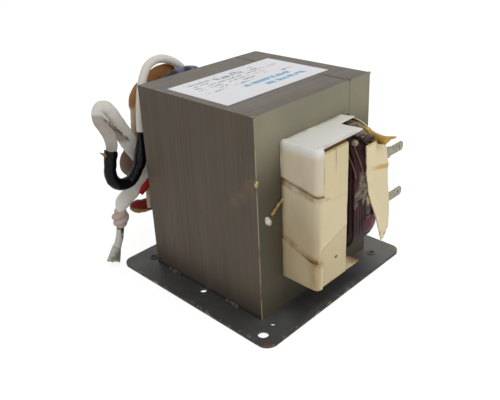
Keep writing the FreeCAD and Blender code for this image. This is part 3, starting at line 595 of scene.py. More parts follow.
@material({"Roughness": 0.5})
def label_paper(m, c):
    """White label with rows of plain dashes and blocks in place of print."""
    paper = m.mix(m.clouds(0.4, 0.7, 18.0) * 0.5, c.label, tint(c.label, 0.93))
    rows = m.node("ShaderNodeMath", {"operation": "PINGPONG"}, {0: m.y + 0.6, 1: 1.7})
    in_row = m.rise(rows, 0.75, 0.6)
    words = m.clouds(0.44, 0.47, 5.0, (1.0, 0.45, 1.0), 1.0, 4.0)
    letters = m.clouds(0.45, 0.55, 0.7, (0.8, 1.0, 1.0), 1.0)
    slant = m.rise(m.y - 0.25 * m.x, -1.0, 1.0)
    field = m.band(m.x, -32.0, 16.0, 0.5) * m.band(m.y, -3.0, 19.5, 0.4) * slant
    dark = in_row * words * letters * field
    dark = dark + m.band(m.x, -14.0, 6.0, 0.3) * m.band(m.y, 13.4, 15.4, 0.2) * letters
    dark = dark + m.band(m.x, 20.0, 28.0, 0.3) * m.band(m.y, -1.5, 0.2, 0.2) * m.rise(letters, 0.0, 0.6)
    blocks = m.clouds(0.4, 0.5, 1.5, (0.7, 1.4, 1.0), 1.0, 6.0)
    blue = m.band(m.x, -14.0, 20.0, 0.4) * m.band(m.y, -7.4, -4.0, 0.3) * blocks
    blue = blue + m.band(m.x, -4.0, 26.0, 0.4) * m.band(m.y, -13.4, -10.0, 0.3) * blocks
    pale_red = m.band(m.x, 12.0, 28.0, 0.4) * m.band(m.y, 9.0, 12.0, 0.3) * letters
    m.base = m.mix(dark * 0.85, paper, c.print_dark)
    m.paint(blue * 0.85, c.print_blue)
    m.paint(pale_red * 0.5, srgb(204, 120, 110))
    m.bump(m.noise(2.0), 0.02)


@material({})
def woven(m, c, base_rgb, dirt_rgb, dirt, span, girth, gloss=0.75):
    """Braided sleeve: its threads cross along the piece's UV map. Span is its length and girth the
    way round it, in millimetres; dirt is a share of its surface, or a function that makes a mask, and
    the dirt's colour may be a function too. On the flat loop that mask and colour are painted shade
    as well as dirt."""
    uv = m.node("ShaderNodeTexCoord", output="UV")
    along, around = (m.node("ShaderNodeSeparateXYZ", sockets={0: uv}, output=i) for i in (0, 1))
    threads = round(girth / 1.1)
    lay = along * (span / girth * threads)
    round_it = around * threads
    weave = 0.5 + 0.25 * ((lay + round_it).wave() + (lay - round_it).wave())
    m.base = m.mix(m.rise(weave, 0.15, 0.6), tint(base_rgb, 0.74), base_rgb)
    mask = dirt(m) if callable(dirt) else m.clouds(0.75 - dirt * 0.5, 0.95 - dirt * 0.5, 4.0, detail=4.0)
    m.paint(mask, dirt_rgb(m) if callable(dirt_rgb) else dirt_rgb)
    m.shader.inputs["Roughness"].default_value = gloss
    m.bump(weave, 0.2)


@material({"Roughness": 0.26, "Specular IOR Level": 0.14})
def glossy_black(m, c):
    """Black sleeve, shiny with varnish."""
    m.base = m.mix(m.clouds(0.5, 0.75, 2.5) * 0.5, c.black, srgb(20, 21, 30))
    worn = m.near((-58.8, 51.0, 74.0), 4.0) * m.clouds(0.45, 0.6, 1.2)
    m.paint(worn * 0.6, srgb(92, 66, 46))
    m.feed("Roughness", 0.1 + 0.26 * m.noise(2.0, shift=2.0))
    m.bump(m.noise(1.8, detail=3.0), 0.16)


@material({"Roughness": 0.9})
def studio_floor(m, c):
    """Pale floor: the camera, gloss and glass see it nearly white, with the object's shadow on it."""
    m.base = m.mix(m.noise(400.0), c.floor, tint(c.floor, 0.98))
    glow = m.node("ShaderNodeEmission", {}, {"Color": WHITE, "Strength": 1.25})
    plain = Value(m, m.shader.outputs[0])
    m.surface(m.node("ShaderNodeMixShader", {}, {0: m.seen() * 0.68, 1: plain, 2: glow}), "Material Output")


def dress(material, *nodes):
    """Give CAD nodes their material."""
    for node in nodes:
        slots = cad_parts[node].data.materials
        slots.clear()
        slots.append(material)


def link_piece(name, data, material, replaces):
    obj = bpy.data.objects.new(name, data)
    bpy.context.scene.collection.objects.link(obj)
    data.materials.append(material)
    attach(obj, "root")
    if replaces:
        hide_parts(*replaces)
    return obj


def mesh_piece(name, bm, material, replaces=(), crease=40.0):
    """Make a mesh drawn in millimetres a piece of the transformer."""
    bmesh.ops.scale(bm, vec=(MM, MM, MM), verts=bm.verts)
    mesh = bpy.data.meshes.new(name)
    bm.to_mesh(mesh)
    bm.free()
    mesh.polygons.foreach_set("use_smooth", [True] * len(mesh.polygons))
    mesh.set_sharp_from_angle(angle=math.radians(crease))
    return link_piece(name, mesh, material, replaces)


def wall(obj, thickness, offset=0.0, rounding=0.0):
    """Give a sheet its thickness, in millimetres, and soft edges where rounding is given."""
    solid = obj.modifiers.new("Thickness", "SOLIDIFY")
    solid.thickness = thickness * MM
    solid.offset = offset
    if rounding:
        soft = obj.modifiers.new("Edges", "BEVEL")
        soft.width = rounding * MM
        soft.segments = 2
        soft.limit_method = "ANGLE"


def laid_grid(columns, rows, place):
    """A grid with a UV map, laid out by place(u, v), where u and v run from 0 to 1."""
    bm = bmesh.new()
    bm.loops.layers.uv.new("UVMap")
    bmesh.ops.create_grid(bm, x_segments=columns, y_segments=rows, size=0.5, calc_uvs=True)
    for v in bm.verts:
        v.co = place(v.co.x + 0.5, v.co.y + 0.5)
    return bm


def tube(line, section, facing, columns, rows, ragged=0.0):
    """A hollow sleeve along a line in metres. At u, from 0 to 1 along it, section(u) gives half its width
    and half its thickness in millimetres, and facing(u) the way that its flat side looks. Ragged is how
    far its far end is torn."""
    points = [point / MM for point in line]
    last = len(points) - 1
    ways = [(points[min(i + 1, last)] - points[max(i - 1, 0)]).normalized() for i in range(last + 1)]

    def place(u, v):
        i = min(int(u * last), last - 1)
        part = u * last - i
        way = ways[i].lerp(ways[i + 1], part).normalized()
        side = facing(u).cross(way).normalized()
        front = way.cross(side)
        angle = 2 * math.pi * v
        width, thickness = section(u)
        rough = noise.noise(Vector((math.cos(angle), math.sin(angle), 0.0)) * 2.4)
        torn = way * ragged * climb(u, 0.93, 1.0) * rough
        around = side * (width * math.cos(angle)) + front * (thickness * math.sin(angle))
        return points[i].lerp(points[i + 1], part) + around + torn

    bm = laid_grid(columns, rows, place)
    bmesh.ops.remove_doubles(bm, verts=bm.verts, dist=0.0001)
    bmesh.ops.recalc_face_normals(bm, faces=bm.faces)
    return bm


def outline_sheet(outlines, step):
    """A flat sheet from the corners of its outlines, cut into cells so that it can bend."""
    bm = bmesh.new()
    for points in outlines:
        bm.faces.new([bm.verts.new(p) for p in points])
    for axis in range(3):
        spread = [v.co[axis] for v in bm.verts]
        normal = Vector([1.0 if i == axis else 0.0 for i in range(3)])
        at = min(spread) + step
        end = max(spread) - 0.2 * step
        while at < end:
            parts = bm.verts[:] + bm.edges[:] + bm.faces[:]
            bmesh.ops.bisect_plane(bm, geom=parts, plane_co=normal * at, plane_no=normal)
            at += step
    bmesh.ops.triangulate(bm, faces=[f for f in bm.faces if len(f.verts) > 4])
    bmesh.ops.remove_doubles(bm, verts=bm.verts, dist=0.0001)
    bmesh.ops.recalc_face_normals(bm, faces=bm.faces)
    return bm


def wobble(bm, amount, size, shift=0.0):
    """Bend a surface softly, out and in by up to amount."""
    bm.normal_update()
    apart = Vector((shift, shift, shift))
    moves = [(v, v.normal * noise.noise(v.co / size + apart) * amount) for v in bm.verts]
    for v, move in moves:
        v.co += move


def climb(value, low, high):
    """0 below low, 1 above high, and a soft climb between them."""
    t = min(1.0, max(0.0, (value - low) / (high - low)))
    return t * t * (3 - 2 * t)


def hill(value, middle, width):
    """1 at the middle, falling softly to 0 on both sides."""
    return math.exp(-((value - middle) / width) ** 2)


def block(x, y, z):
    """A box between two values on each axis."""
    bm = bmesh.new()
    bmesh.ops.create_cube(bm, size=1.0)
    size = Vector((x[1] - x[0], y[1] - y[0], z[1] - z[0]))
    middle = Vector((x[0] + x[1], y[0] + y[1], z[0] + z[1])) / 2
    bmesh.ops.scale(bm, vec=size, verts=bm.verts)
    bmesh.ops.translate(bm, vec=middle, verts=bm.verts)
    return bm


def lump(bm, place, size, subdivisions=3):
    """A ball stretched to the half sizes in size."""
    made = bmesh.ops.create_icosphere(bm, subdivisions=subdivisions, radius=1.0)["verts"]
    bmesh.ops.scale(bm, vec=size, verts=made)
    bmesh.ops.translate(bm, vec=place, verts=made)


def round_edges(bm, edges, radius, segments):
    bmesh.ops.bevel(
        bm, geom=edges, offset=radius, offset_type="OFFSET", affect="EDGES", segments=segments, profile=0.5,
        material=-1,
    )


def add_spline(data, kind, route, steps):
    """Draw a route in metres. A NURBS spline runs smoothly from end to end, in steps for each point."""
    data.dimensions = "3D"
    spline = data.splines.new(kind)
    spline.points.add(len(route) - 1)
    for point, place in zip(spline.points, route):
        point.co = (*place, 1.0)
    if kind == "NURBS":
        spline.order_u = 3
        spline.use_endpoint_u = True
        spline.resolution_u = steps
    spline.use_smooth = True


def curve_piece(name, routes, diameter, material, replaces=(), kind="POLY", sides=3):
    """Round wires or strands along routes in metres."""
    data = bpy.data.curves.new(name, "CURVE")
    data.bevel_depth = diameter / 2 * MM
    data.bevel_resolution = sides
    data.use_fill_caps = True
    for route in routes:
        add_spline(data, kind, route, 8)
    return link_piece(name, data, material, replaces)


def route_points(route):
    """Points along a route's smooth line, read from its NURBS spline."""
    data = bpy.data.curves.new("route", "CURVE")
    add_spline(data, "NURBS", route, 12)
    obj = bpy.data.objects.new("route", data)
    mesh = bpy.data.meshes.new_from_object(obj)
    points = [v.co.copy() for v in mesh.vertices]
    bpy.data.objects.remove(obj)
    bpy.data.meshes.remove(mesh)
    bpy.data.curves.remove(data)
    return points


def racetrack(half_y, half_z, radius, steps):
    """Points once round the centre leg, as (y, z) in millimetres, starting behind."""
    points = []
    for side_y, side_z, start in ((1, 1, 0), (-1, 1, 90), (-1, -1, 180), (1, -1, 270)):
        centre = (side_y * (half_y - radius), MID_Z + side_z * (half_z - radius))
        for i in range(steps + 1):
            angle = math.radians(start + 90 * i / steps)
            points.append((centre[0] + radius * math.cos(angle), centre[1] + radius * math.sin(angle)))
    return points


class TRANSFORMER_OT_stage(bpy.types.Operator):
    """Floor, soft light and the camera"""

    bl_idname = "transformer.stage"
    bl_label = "Stage"

    def execute(self, context):
        scene = context.scene
        scene.view_settings.view_transform = "Standard"
        bm = bmesh.new()
        bmesh.ops.create_grid(bm, x_segments=4, y_segments=4, size=3000.0)
        bmesh.ops.translate(bm, vec=(0.0, 0.0, -0.05), verts=bm.verts)
        bmesh.ops.scale(bm, vec=(MM, MM, MM), verts=bm.verts)
        mesh = bpy.data.meshes.new("floor")
        bm.to_mesh(mesh)
        bm.free()
        mesh.materials.append(studio_floor())
        floor = bpy.data.objects.new("floor", mesh)
        scene.collection.objects.link(floor)
        self.light_world(scene)
        self.lamp(scene, "key_light", (0.15, -0.75, 0.85), 0.7, 3.7)
        self.lamp(scene, "side_light", (-0.9, -0.35, 0.55), 0.6, 1.1)
        self.lamp(scene, "rear_light", (0.2, 0.9, 0.7), 0.7, 1.6)
        self.aim_camera(scene)
        return {"FINISHED"}

    def lamp(self, scene, name, place, size, power):
        data = bpy.data.lights.new(name, "AREA")
        data.energy = power
        data.size = size
        obj = bpy.data.objects.new(name, data)
        obj.location = place
        obj.rotation_mode = "QUATERNION"
        obj.rotation_quaternion = (Vector((0.0, 0.0, 0.05)) - Vector(place)).to_track_quat("-Z", "Y")
        scene.collection.objects.link(obj)

    def light_world(self, scene):
        """Even light all round; the camera, gloss and glass see plain white instead."""
        scene.world = bpy.data.worlds.new("studio")
        scene.world.use_nodes = True
        world = Nodes(scene.world.node_tree)
        world.tree.nodes.remove(world.tree.nodes["Background"])
        light = world.node("ShaderNodeBackground", {}, {"Color": WHITE, "Strength": 0.5})
        white = world.node("ShaderNodeBackground", {}, {"Color": WHITE, "Strength": 1.0})
        shader = world.node("ShaderNodeMixShader", {}, {0: world.seen(), 1: light, 2: white})
        world.surface(shader, "World Output")

    def aim_camera(self, scene):
        azimuth = math.radians(-45.05)
        elevation = math.radians(23.46)
        roll = math.radians(-2.64)
        level = math.cos(elevation)
        ahead = Vector((-math.sin(azimuth) * level, math.cos(azimuth) * level, -math.sin(elevation)))
        right = ahead.cross(Vector((0.0, 0.0, 1.0))).normalized()
        up = right.cross(ahead)
        turned_right = math.cos(roll) * right + math.sin(roll) * up
        turned_up = math.cos(roll) * up - math.sin(roll) * right
        data = bpy.data.cameras.new("camera")
        data.sensor_width = 36.0
        data.lens = 44.51
        data.shift_y = -0.08
        data.clip_start = 0.01
        camera = bpy.data.objects.new("camera", data)
        turn = Matrix((turned_right, turned_up, -ahead)).transposed().to_4x4()
        camera.matrix_world = Matrix.Translation((-0.21919, -0.21288, 0.19402)) @ turn
        scene.collection.objects.link(camera)
        scene.camera = camera


class TRANSFORMER_OT_core(bpy.types.Operator):
    """Laminated core, base plate and welds"""

    bl_idname = "transformer.core"
    bl_label = "Core and Plate"

    def execute(self, context):
        steel = lamination_steel()
        dress(steel, "core_e_stack", "core_closing_bar", "shunt_lower", "shunt_upper")
        dress(plate_steel(), "base_plate")
        dress(weld_metal(), "core_seam_welds")
        bm = bmesh.new()
        for x in (-CORE_X, CORE_X):
            for y in (-20.0, 25.0):
                self.weld_bead(bm, x, y)
        parts = bm.verts[:] + bm.edges[:] + bm.faces[:]
        bmesh.ops.bisect_plane(bm, geom=parts, plane_co=(0, 0, 1.4), plane_no=(0, 0, -1), clear_outer=True)
        mesh_piece("foot_weld_beads", bm, weld_metal(), ["foot_welds"], 80.0)
        self.varnish_drops()
        return {"FINISHED"}

    def weld_bead(self, bm, x, y):
        """Overlapping ripples, as a torch leaves them."""
        for i in range(6):
            made = bmesh.ops.create_uvsphere(bm, u_segments=14, v_segments=8, radius=1.5)["verts"]
            bmesh.ops.scale(bm, vec=(0.95, 0.8, 0.9 + 0.1 * (i % 2)), verts=made)
            bmesh.ops.translate(bm, vec=(x, y - 3.6 + 1.45 * i, 1.5), verts=made)

    def varnish_drops(self):
        """Drops of varnish that ran to the core's edges and dried there."""
        bm = bmesh.new()
        drops = (
            ((-43.3, -40.4, 75.4), (0.9, 0.9, 2.2)),
            ((-43.1, -40.1, 106.4), (0.9, 0.9, 0.5)),
            ((43.1, -40.2, 106.3), (0.9, 1.0, 0.6)),
            ((-42.8, 25.0, 106.5), (0.8, 0.6, 0.3)),
        )
        for place, size in drops:
            lump(bm, place, size)
        wobble(bm, 0.25, 1.2)
        mesh_piece("varnish_drops", bm, dried_drop())


class TRANSFORMER_OT_windings(bpy.types.Operator):
    """Primary winding of thick wire, filament turns and what shows of the secondary"""

    bl_idname = "transformer.windings"
    bl_label = "Windings"

    def execute(self, context):
        c = colours()
        # The brighter tint gives the fine wire its painted highlight streaks
        fine = enamelled_wire("fine_wire", c.fine_wire, tint(c.fine_wire, 1.6))
        dress(fine, "secondary_winding")
        paper = insulating_paper()
        dress(paper, "secondary_liner", "primary_liner", "shunt_paper_lower", "shunt_paper_upper")
        dress(insulating_card(), "primary_side_board")
        self.primary(context.scene.transformer_sizes.turns)
        self.filament()
        self.crust()
        return {"FINISHED"}

    def primary(self, turns):
        """One wire that steps over by its own width on each turn, in front, over the layers below it."""
        c = colours()
        enamel = enamelled_wire("primary_enamel", c.enamel, c.enamel_light)
        low, high = PRIMARY_X
        pitch = (high - low) / turns
        wire = pitch * 0.98
        route = []
        for turn in range(turns):
            track = self.layer(0, wire)
            for i, (y, z) in enumerate(track):
                step = climb(i / len(track), 0.42, 0.6)
                x = low + wire / 2 + pitch * (turn + step * (turn < turns - 1))
                route.append((x * MM, y * MM, z * MM))
        curve_piece("primary_turns", [route], wire, enamel, ["primary_winding"])
        ends = [self.closed(low + wire / 2, self.layer(k, wire)) for k in range(1, 7)]
        curve_piece("primary_end_turns", ends, wire, enamel, ["primary_winding"])
        self.ring("primary_layers", low + wire / 2, high - 0.2, COIL_BUILD - wire * 0.6, wire * 0.6, enamel)
        self.loose_turns()

    def closed(self, x, track):
        """A turn at x whose last point meets its first, in metres."""
        return [(x * MM, y * MM, z * MM) for y, z in (*track, track[0])]

    def layer(self, k, wire):
        """Line of a wire in the layer that lies k wires below the outer one."""
        inset = wire * (k + 0.5)
        return racetrack(COIL_OUT_Y - inset, COIL_OUT_Z - inset, max(0.6, COIL_CORNER - inset), 8)

    def loose_turns(self):
        """Two pale wires that cross the turns at a slant: painted highlights standing in for the light on
        the wires.
        """
        # Painted highlight colours
        pale = enamelled_wire("pale_enamel", srgb(134, 84, 76), srgb(176, 130, 118))
        routes = [
            [
                (0.0045, -0.0535, 0.0805), (0.0043, -0.0572, 0.0755), (0.0045, -0.0594, 0.07),
                (0.0052, -0.0599, 0.066),
            ],
            [
                (0.005, -0.0584, 0.082), (0.0064, -0.0598, 0.0775), (0.0092, -0.06, 0.0712),
                (0.0115, -0.0598, 0.066),
            ],
        ]
        curve_piece("primary_highlight_wires", routes, 0.6, pale, kind="NURBS")

    def ring(self, name, low, high, build, inset, material):
        """The wound layers under the outer one, as a ring round the leg."""
        y = COIL_OUT_Y - inset
        z = COIL_OUT_Z - inset
        bm = block((low, high), (-y, y), (MID_Z - z, MID_Z + z))
        ends = [f for f in bm.faces if abs(f.normal.x) > 0.9]
        bmesh.ops.delete(bm, geom=ends, context="FACES_ONLY")
        along = [e for e in bm.edges if abs(e.verts[0].co.x - e.verts[1].co.x) > 1.0]
        round_edges(bm, along, COIL_CORNER - inset, 8)
        obj = mesh_piece(name, bm, material, crease=50.0)
        wall(obj, build, -1.0)
        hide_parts("primary_winding")

    def filament(self):
        """Two turns of insulated wire, one over the other."""
        c = colours()
        # The brighter tint gives the filament cover its painted highlight streaks
        cover = enamelled_wire("filament_cover", c.filament, tint(c.filament, 1.5))
        diameter = FILAMENT_X[1] - FILAMENT_X[0]
        routes = []
        for i in range(2):
            out = diameter / 2 + i * (diameter + 0.15)
            track = racetrack(43.7 + out, 18.3 + out, 0.5 + out, 5)
            routes.append(self.closed(FILAMENT_X[0] + diameter / 2, track))
        curve_piece("filament_turns", routes, diameter, cover, ["filament_winding"])

    def crust(self):
        """Lumps of varnish and lacing on the front of the primary."""
        bm = bmesh.new()
        lumps = (
            ((12.2, -59.4, 51.2), (1.3, 0.8, 2.6)),
            ((9.2, -59.4, 58.0), (2.8, 0.5, 5.2)),
            ((10.4, -59.4, 65.0), (1.5, 0.5, 3.2)),
            ((6.2, -59.4, 53.0), (1.6, 0.5, 5.0)),
            ((14.0, -59.2, 58.0), (3.6, 1.0, 8.0)),
            ((17.6, -58.6, 46.0), (3.2, 1.6, 6.0)),
            ((19.0, -58.2, 36.0), (5.6, 3.0, 5.6)),
            ((6.6, -57.4, 83.4), (1.9, 1.5, 1.8)),
            ((17.6, -58.0, 82.4), (4.6, 1.4, 1.8)),
            ((13.0, -55.6, 85.4), (3.4, 2.0, 1.0)),
        )
        for place, size in lumps:
            lump(bm, place, size)
        wobble(bm, 0.5, 2.2)
        mesh_piece("primary_crust", bm, varnish_crust())


class TRANSFORMER_OT_paper_box(bpy.types.Operator):
    """Folded paper, cards and sheets round the secondary's heads"""

    bl_idname = "transformer.paper_box"
    bl_label = "Paper Box"

    def execute(self, context):
        s = sizes()
        paper = insulating_paper()
        card = insulating_card()
        for side, end in ((1, "front"), (-1, "rear")):
            self.box("paper_box_" + end, paper, ["secondary_wrap_" + end], side)
            self.wrap("middle_wrap_" + end, paper, side, 0.4, 19.4, self.middle_low, self.middle_high)
            self.wrap("lower_wrap_" + end, paper, side, s["flap"], 1.0, self.lower_foot, self.lower_edge)
            self.wrap("upper_wrap_" + end, paper, side, s["flap"], 1.6, self.upper_edge, None)
        self.front_card(card, s["card"])
        self.upper_card(card, s["card"])
        self.top_sheet(paper, s["paper"])
        dress(paper, "top_paper_rear", "foot_paper_front", "foot_paper_rear")
        dress(card, "secondary_card_rear")
        return {"FINISHED"}

    def box(self, name, material, nodes, side):
        """The inner box, open at the core, with soft edges in front."""
        bm = block(WRAP_X, (-WRAP_FRONT, -FACE_Y - GAP), WRAP_Z)
        bmesh.ops.delete(bm, geom=[f for f in bm.faces if f.normal.y > 0.9], context="FACES_ONLY")
        front = [e for e in bm.edges if all(v.co.y < -60.0 for v in e.verts)]
        soft = [e for e in front if any(v.co.x < -20.0 for v in e.verts) or e.verts[0].co.z > 80.0]
        round_edges(bm, soft, 2.4, 4)
        long_edges = [e for e in bm.edges if e.calc_length() > 12.0]
        bmesh.ops.subdivide_edges(bm, edges=long_edges, cuts=7, use_grid_fill=True)
        wobble(bm, 0.2, 14.0)
        if side < 0:
            bmesh.ops.scale(bm, vec=(1.0, -1.0, 1.0), verts=bm.verts)
            bmesh.ops.recalc_face_normals(bm, faces=bm.faces)
        wall(mesh_piece(name, bm, material, nodes), 0.5, -1.0)

    def middle_high(self, s):
        """Upper edge of the middle wrap, s millimetres from the core."""
        return 72.0 - 0.2 * s

    def lower_foot(self, s):
        """Lower edge of the lower wrap, level with the box's foot."""
        return WRAP_Z[0] + 0.1

    def upper_edge(self, s):
        """Lower edge of the upper wrap."""
        return 73.2 - 0.19 * s

    def lower_edge(self, s):
        """Upper edge of the lower wrap."""
        return 40.6 - 0.375 * min(s, 18.0)

    def middle_low(self, s):
        """Lower edge of the middle wrap, which climbs across the front."""
        return 35.0 + 6.0 * climb(s, 20.0, 24.0) + 4.8 * climb(s, 23.0, 44.0)

    def wrap(self, name, material, side, stand, run, low, high):
        """Paper folded flat against the box's side, round its corner and run millimetres along its front.
        Without an upper edge it bends over onto the top."""
        corner = 2.5
        bend = 1.5
        x_side = WRAP_X[0] - stand
        start = FACE_Y + GAP
        straight = WRAP_CARD + stand - corner - start
        arc = corner * math.pi / 2
        inward = 1.4

        def place(u, v):
            s = u * (straight + arc + run)
            angle = min(math.pi / 2, max(0.0, (s - straight) / corner))
            out = Vector((-math.cos(angle), -math.sin(angle), 0.0))
            across = max(0.0, s - straight - arc)
            spot = Vector((x_side + corner + across, -start - min(s, straight), 0.0))
            foot = low(s)
            if high:
                return spot + out * corner + Vector((0.0, 0.0, foot + (high(s) - foot) * v))
            top = HEAD_TOP + 0.75 - bend
            up = v * (top - foot + bend * math.pi / 2 + inward)
            over = min(math.pi / 2, max(0.0, (up - top + foot) / bend))
            back = bend * (1 - math.cos(over)) + max(0.0, up - (top - foot) - bend * math.pi / 2)
            height = min(foot + up, top) + bend * math.sin(over)
            return spot + out * (corner - back) + Vector((0.0, 0.0, height))

        bm = laid_grid(40, 24, place)
        wobble(bm, 0.3, 8.0, 3.0)
        wobble(bm, 0.08, 2.4, 5.0)
        if side < 0:
            bmesh.ops.scale(bm, vec=(1.0, -1.0, 1.0), verts=bm.verts)
        bmesh.ops.recalc_face_normals(bm, faces=bm.faces)
        wall(mesh_piece(name, bm, material, crease=60.0), 0.35, 0.0)

    def front_card(self, material, thickness):
        """Card in front of the head, slit from its top, with a small round hole near its foot. Its two
        halves meet above and below the hole."""
        low, high = WRAP_Z[0], WRAP_Z[1] - 1.8
        left, right = WRAP_X[0] + 1.0, WRAP_X[1] - 1.2
        hole = Vector((-12.0, 0.0, 31.2))
        ring = []
        for i in range(17):
            angle = 2 * math.pi * i / 16
            ring.append(hole + Vector((math.sin(angle), 0.0, math.cos(angle))))
        top, foot = (hole.x, 0.0, high), (hole.x, 0.0, low)
        halves = (
            [top, *ring[:9], foot, (right, 0.0, low), (right, 0.0, high)],
            [foot, *ring[8:], top, *self.slit(high), (left, 0.0, high), (left, 0.0, low)],
        )
        bm = outline_sheet(halves, 1.6)
        for v in bm.verts:
            v.co.y = -CARD_BACK - thickness / 2 + 0.5 * climb(-v.co.x, 22.0, 25.5)
        wobble(bm, 0.12, 12.0, 6.0)
        obj = mesh_piece("front_card", bm, material, ["secondary_card_front"], 60.0)
        wall(obj, thickness * 0.8, 0.0, 0.1)

    def slit(self, high):
        """Corners of the slit, from right to left."""
        low = high - 11.0
        return [(-14.0, 0.0, high), (-14.2, 0.0, low), (-14.4, 0.0, low), (-14.6, 0.0, high)]

    def upper_card(self, material, thickness):
        """A second card over the first one's upper part, with a slanting lower edge."""
        high = WRAP_Z[1] - 2.0
        right = WRAP_X[1] - 2.2
        outline = [
            (-22.6, 0.0, 67.6), (-17.5, 0.0, 64.6), (-9.8, 0.0, 63.2), (right, 0.0, 63.2),
            (right, 0.0, high), *self.slit(high), (-22.6, 0.0, high),
        ]
        bm = outline_sheet([outline], 1.6)
        for v in bm.verts:
            v.co.y = -WRAP_CARD - 0.62
        wobble(bm, 0.15, 12.0, 6.0)
        wall(mesh_piece("upper_card", bm, material, crease=60.0), thickness * 0.5, 0.0, 0.08)

    def top_sheet(self, material, thickness):
        """White sheet over the head, torn to a notch above the primary."""
        z = HEAD_TOP + thickness / 2
        outline = [
            (WRAP_X[0] + 0.6, -FACE_Y - GAP, z), (18.4, -FACE_Y - GAP, z), (20.4, -47.65, z),
            (12.0, -47.9, z), (8.0, -48.15, z), (7.7, -54.0, z), (7.4, -61.4, z), (-20.0, -61.6, z),
            (-23.4, -60.6, z), (-25.4, -58.4, z),
        ]
        bm = outline_sheet([outline], 2.2)
        for v in bm.verts:
            x, y, _ = v.co
            v.co.z += 0.25 * noise.noise(v.co / 16.0) + 0.5 * climb(x, 2.0, 8.0) * climb(-y, 50.0, 60.0)
        wall(mesh_piece("top_sheet", bm, material, ["top_paper_front"], 60.0), thickness, 0.0, 0.12)


class TRANSFORMER_OT_primary_front(bpy.types.Operator):
    """Pointed card, curled varnished paper and the two tabs"""

    bl_idname = "transformer.primary_front"
    bl_label = "Primary Front"

    def execute(self, context):
        s = sizes()
        self.pointed_card(s["card"])
        self.curl(s["paper"])
        dress(tab_metal(), "tab_upper", "tab_lower")
        return {"FINISHED"}

    def pointed_card(self, thickness):
        """Card in front of the primary, cut to a point at its foot, which leans outward below the axis."""
        outline = [
            (26.0, 0.0, 23.4), (27.6, 0.0, 23.8), (32.6, 0.0, 29.0), (34.0, 0.0, 38.0), (33.4, 0.0, 52.0),
            (32.4, 0.0, 64.0), (29.2, 0.0, 80.6), (12.6, 0.0, 80.4), (13.6, 0.0, 66.0), (15.6, 0.0, 55.0),
            (18.0, 0.0, 47.8), (22.0, 0.0, 38.2), (24.4, 0.0, 29.6),
        ]
        bm = outline_sheet([outline], 2.0)
        lean = math.tan(math.radians(4.0))
        for v in bm.verts:
            x, _, z = v.co
            back = -COIL_OUT_Y - GAP - max(0.0, MID_Z - z) * lean
            ridge = 0.5 * hill(z + (x - 23.0) * 0.2, 66.7, 1.2)
            v.co.y = back - thickness / 2 - ridge
        wobble(bm, 0.25, 10.0, 2.0)
        obj = mesh_piece("pointed_card", bm, insulating_card(), ["primary_card_front"], 60.0)
        wall(obj, thickness * 0.8, 0.0, 0.1)

    def curl(self, thickness):
        """Stiff paper over the primary's top edge: its left part lies on the wires, and its right part
        stands off them and ends in a torn tip."""
        radius = COIL_CORNER + GAP + thickness / 2
        centre = Vector((0.0, -COIL_OUT_Y + COIL_CORNER, MID_Z + COIL_OUT_Z - COIL_CORNER))

        def place(u, v):
            free = climb(u, 0.55, 0.8)
            end = math.radians(54.0 - 8.0 * free)
            start = math.radians(8.0 + 30.0 * free)
            lying = 0.62
            angle = start + (end - start) * min(1.0, v / lying)
            beyond = max(0.0, v - lying) / (1 - lying)
            reach = beyond * (1.6 + 9.6 * free + 1.2 * noise.noise(Vector((u * 9.0, 0.0, 4.0))))
            flare = 4.6 * climb(beyond, 0.55, 1.0) * climb(u, 0.7, 1.0)
            y = centre.y - radius * math.sin(angle) - reach
            z = centre.z + radius * math.cos(angle) - reach * (0.9 - 0.72 * free)
            return Vector((14.6 + 10.0 * u + flare, y, z))

        bm = laid_grid(24, 26, place)
        wobble(bm, 0.35, 3.0)
        wall(mesh_piece("varnished_curl", bm, golden_varnish(), ["varnished_paper"]), thickness)


class TRANSFORMER_OT_ground(bpy.types.Operator):
    """Bare end of the secondary and its solder on the core's face"""

    bl_idname = "transformer.ground"
    bl_label = "Ground Wire"

    def execute(self, context):
        strand = sizes()["strand"]
        line = route_points(GROUND_WIRE)
        routes = []
        for k in range(3):
            route = []
            for i, point in enumerate(line):
                angle = i * 0.55 + k * 2 * math.pi / 3
                away = Vector((math.cos(angle) * 0.5, math.sin(angle), math.cos(angle) * 0.5))
                route.append(point + away * strand * 0.55 * MM)
            routes.append(route)
        curve_piece("ground_strands", routes, strand, bare_wire(), ["ground_wire"])
        bm = bmesh.new()
        lump(bm, (0.0, 0.0, 0.0), (1.8, 1.6, 2.9), 4)
        turn = Matrix.Rotation(math.radians(-28), 3, "Y")
        bmesh.ops.rotate(bm, cent=(0, 0, 0), matrix=turn, verts=bm.verts)
        bmesh.ops.translate(bm, vec=SOLDER_AT, verts=bm.verts)
        bmesh.ops.bisect_plane(
            bm, geom=bm.verts[:] + bm.edges[:] + bm.faces[:], plane_co=SOLDER_AT + Vector((0.0, -0.02, 0.0)),
            plane_no=(0.0, 1.0, 0.0), clear_outer=True,
        )
        wobble(bm, 0.35, 1.3)
        mesh_piece("solder_blob", bm, solder_metal(), ["ground_solder"])
        return {"FINISHED"}


class TRANSFORMER_OT_label(bpy.types.Operator):
    """Label on top of the core"""

    bl_idname = "transformer.label"
    bl_label = "Label"

    def execute(self, context):
        dress(label_paper(), "rating_label")
        return {"FINISHED"}


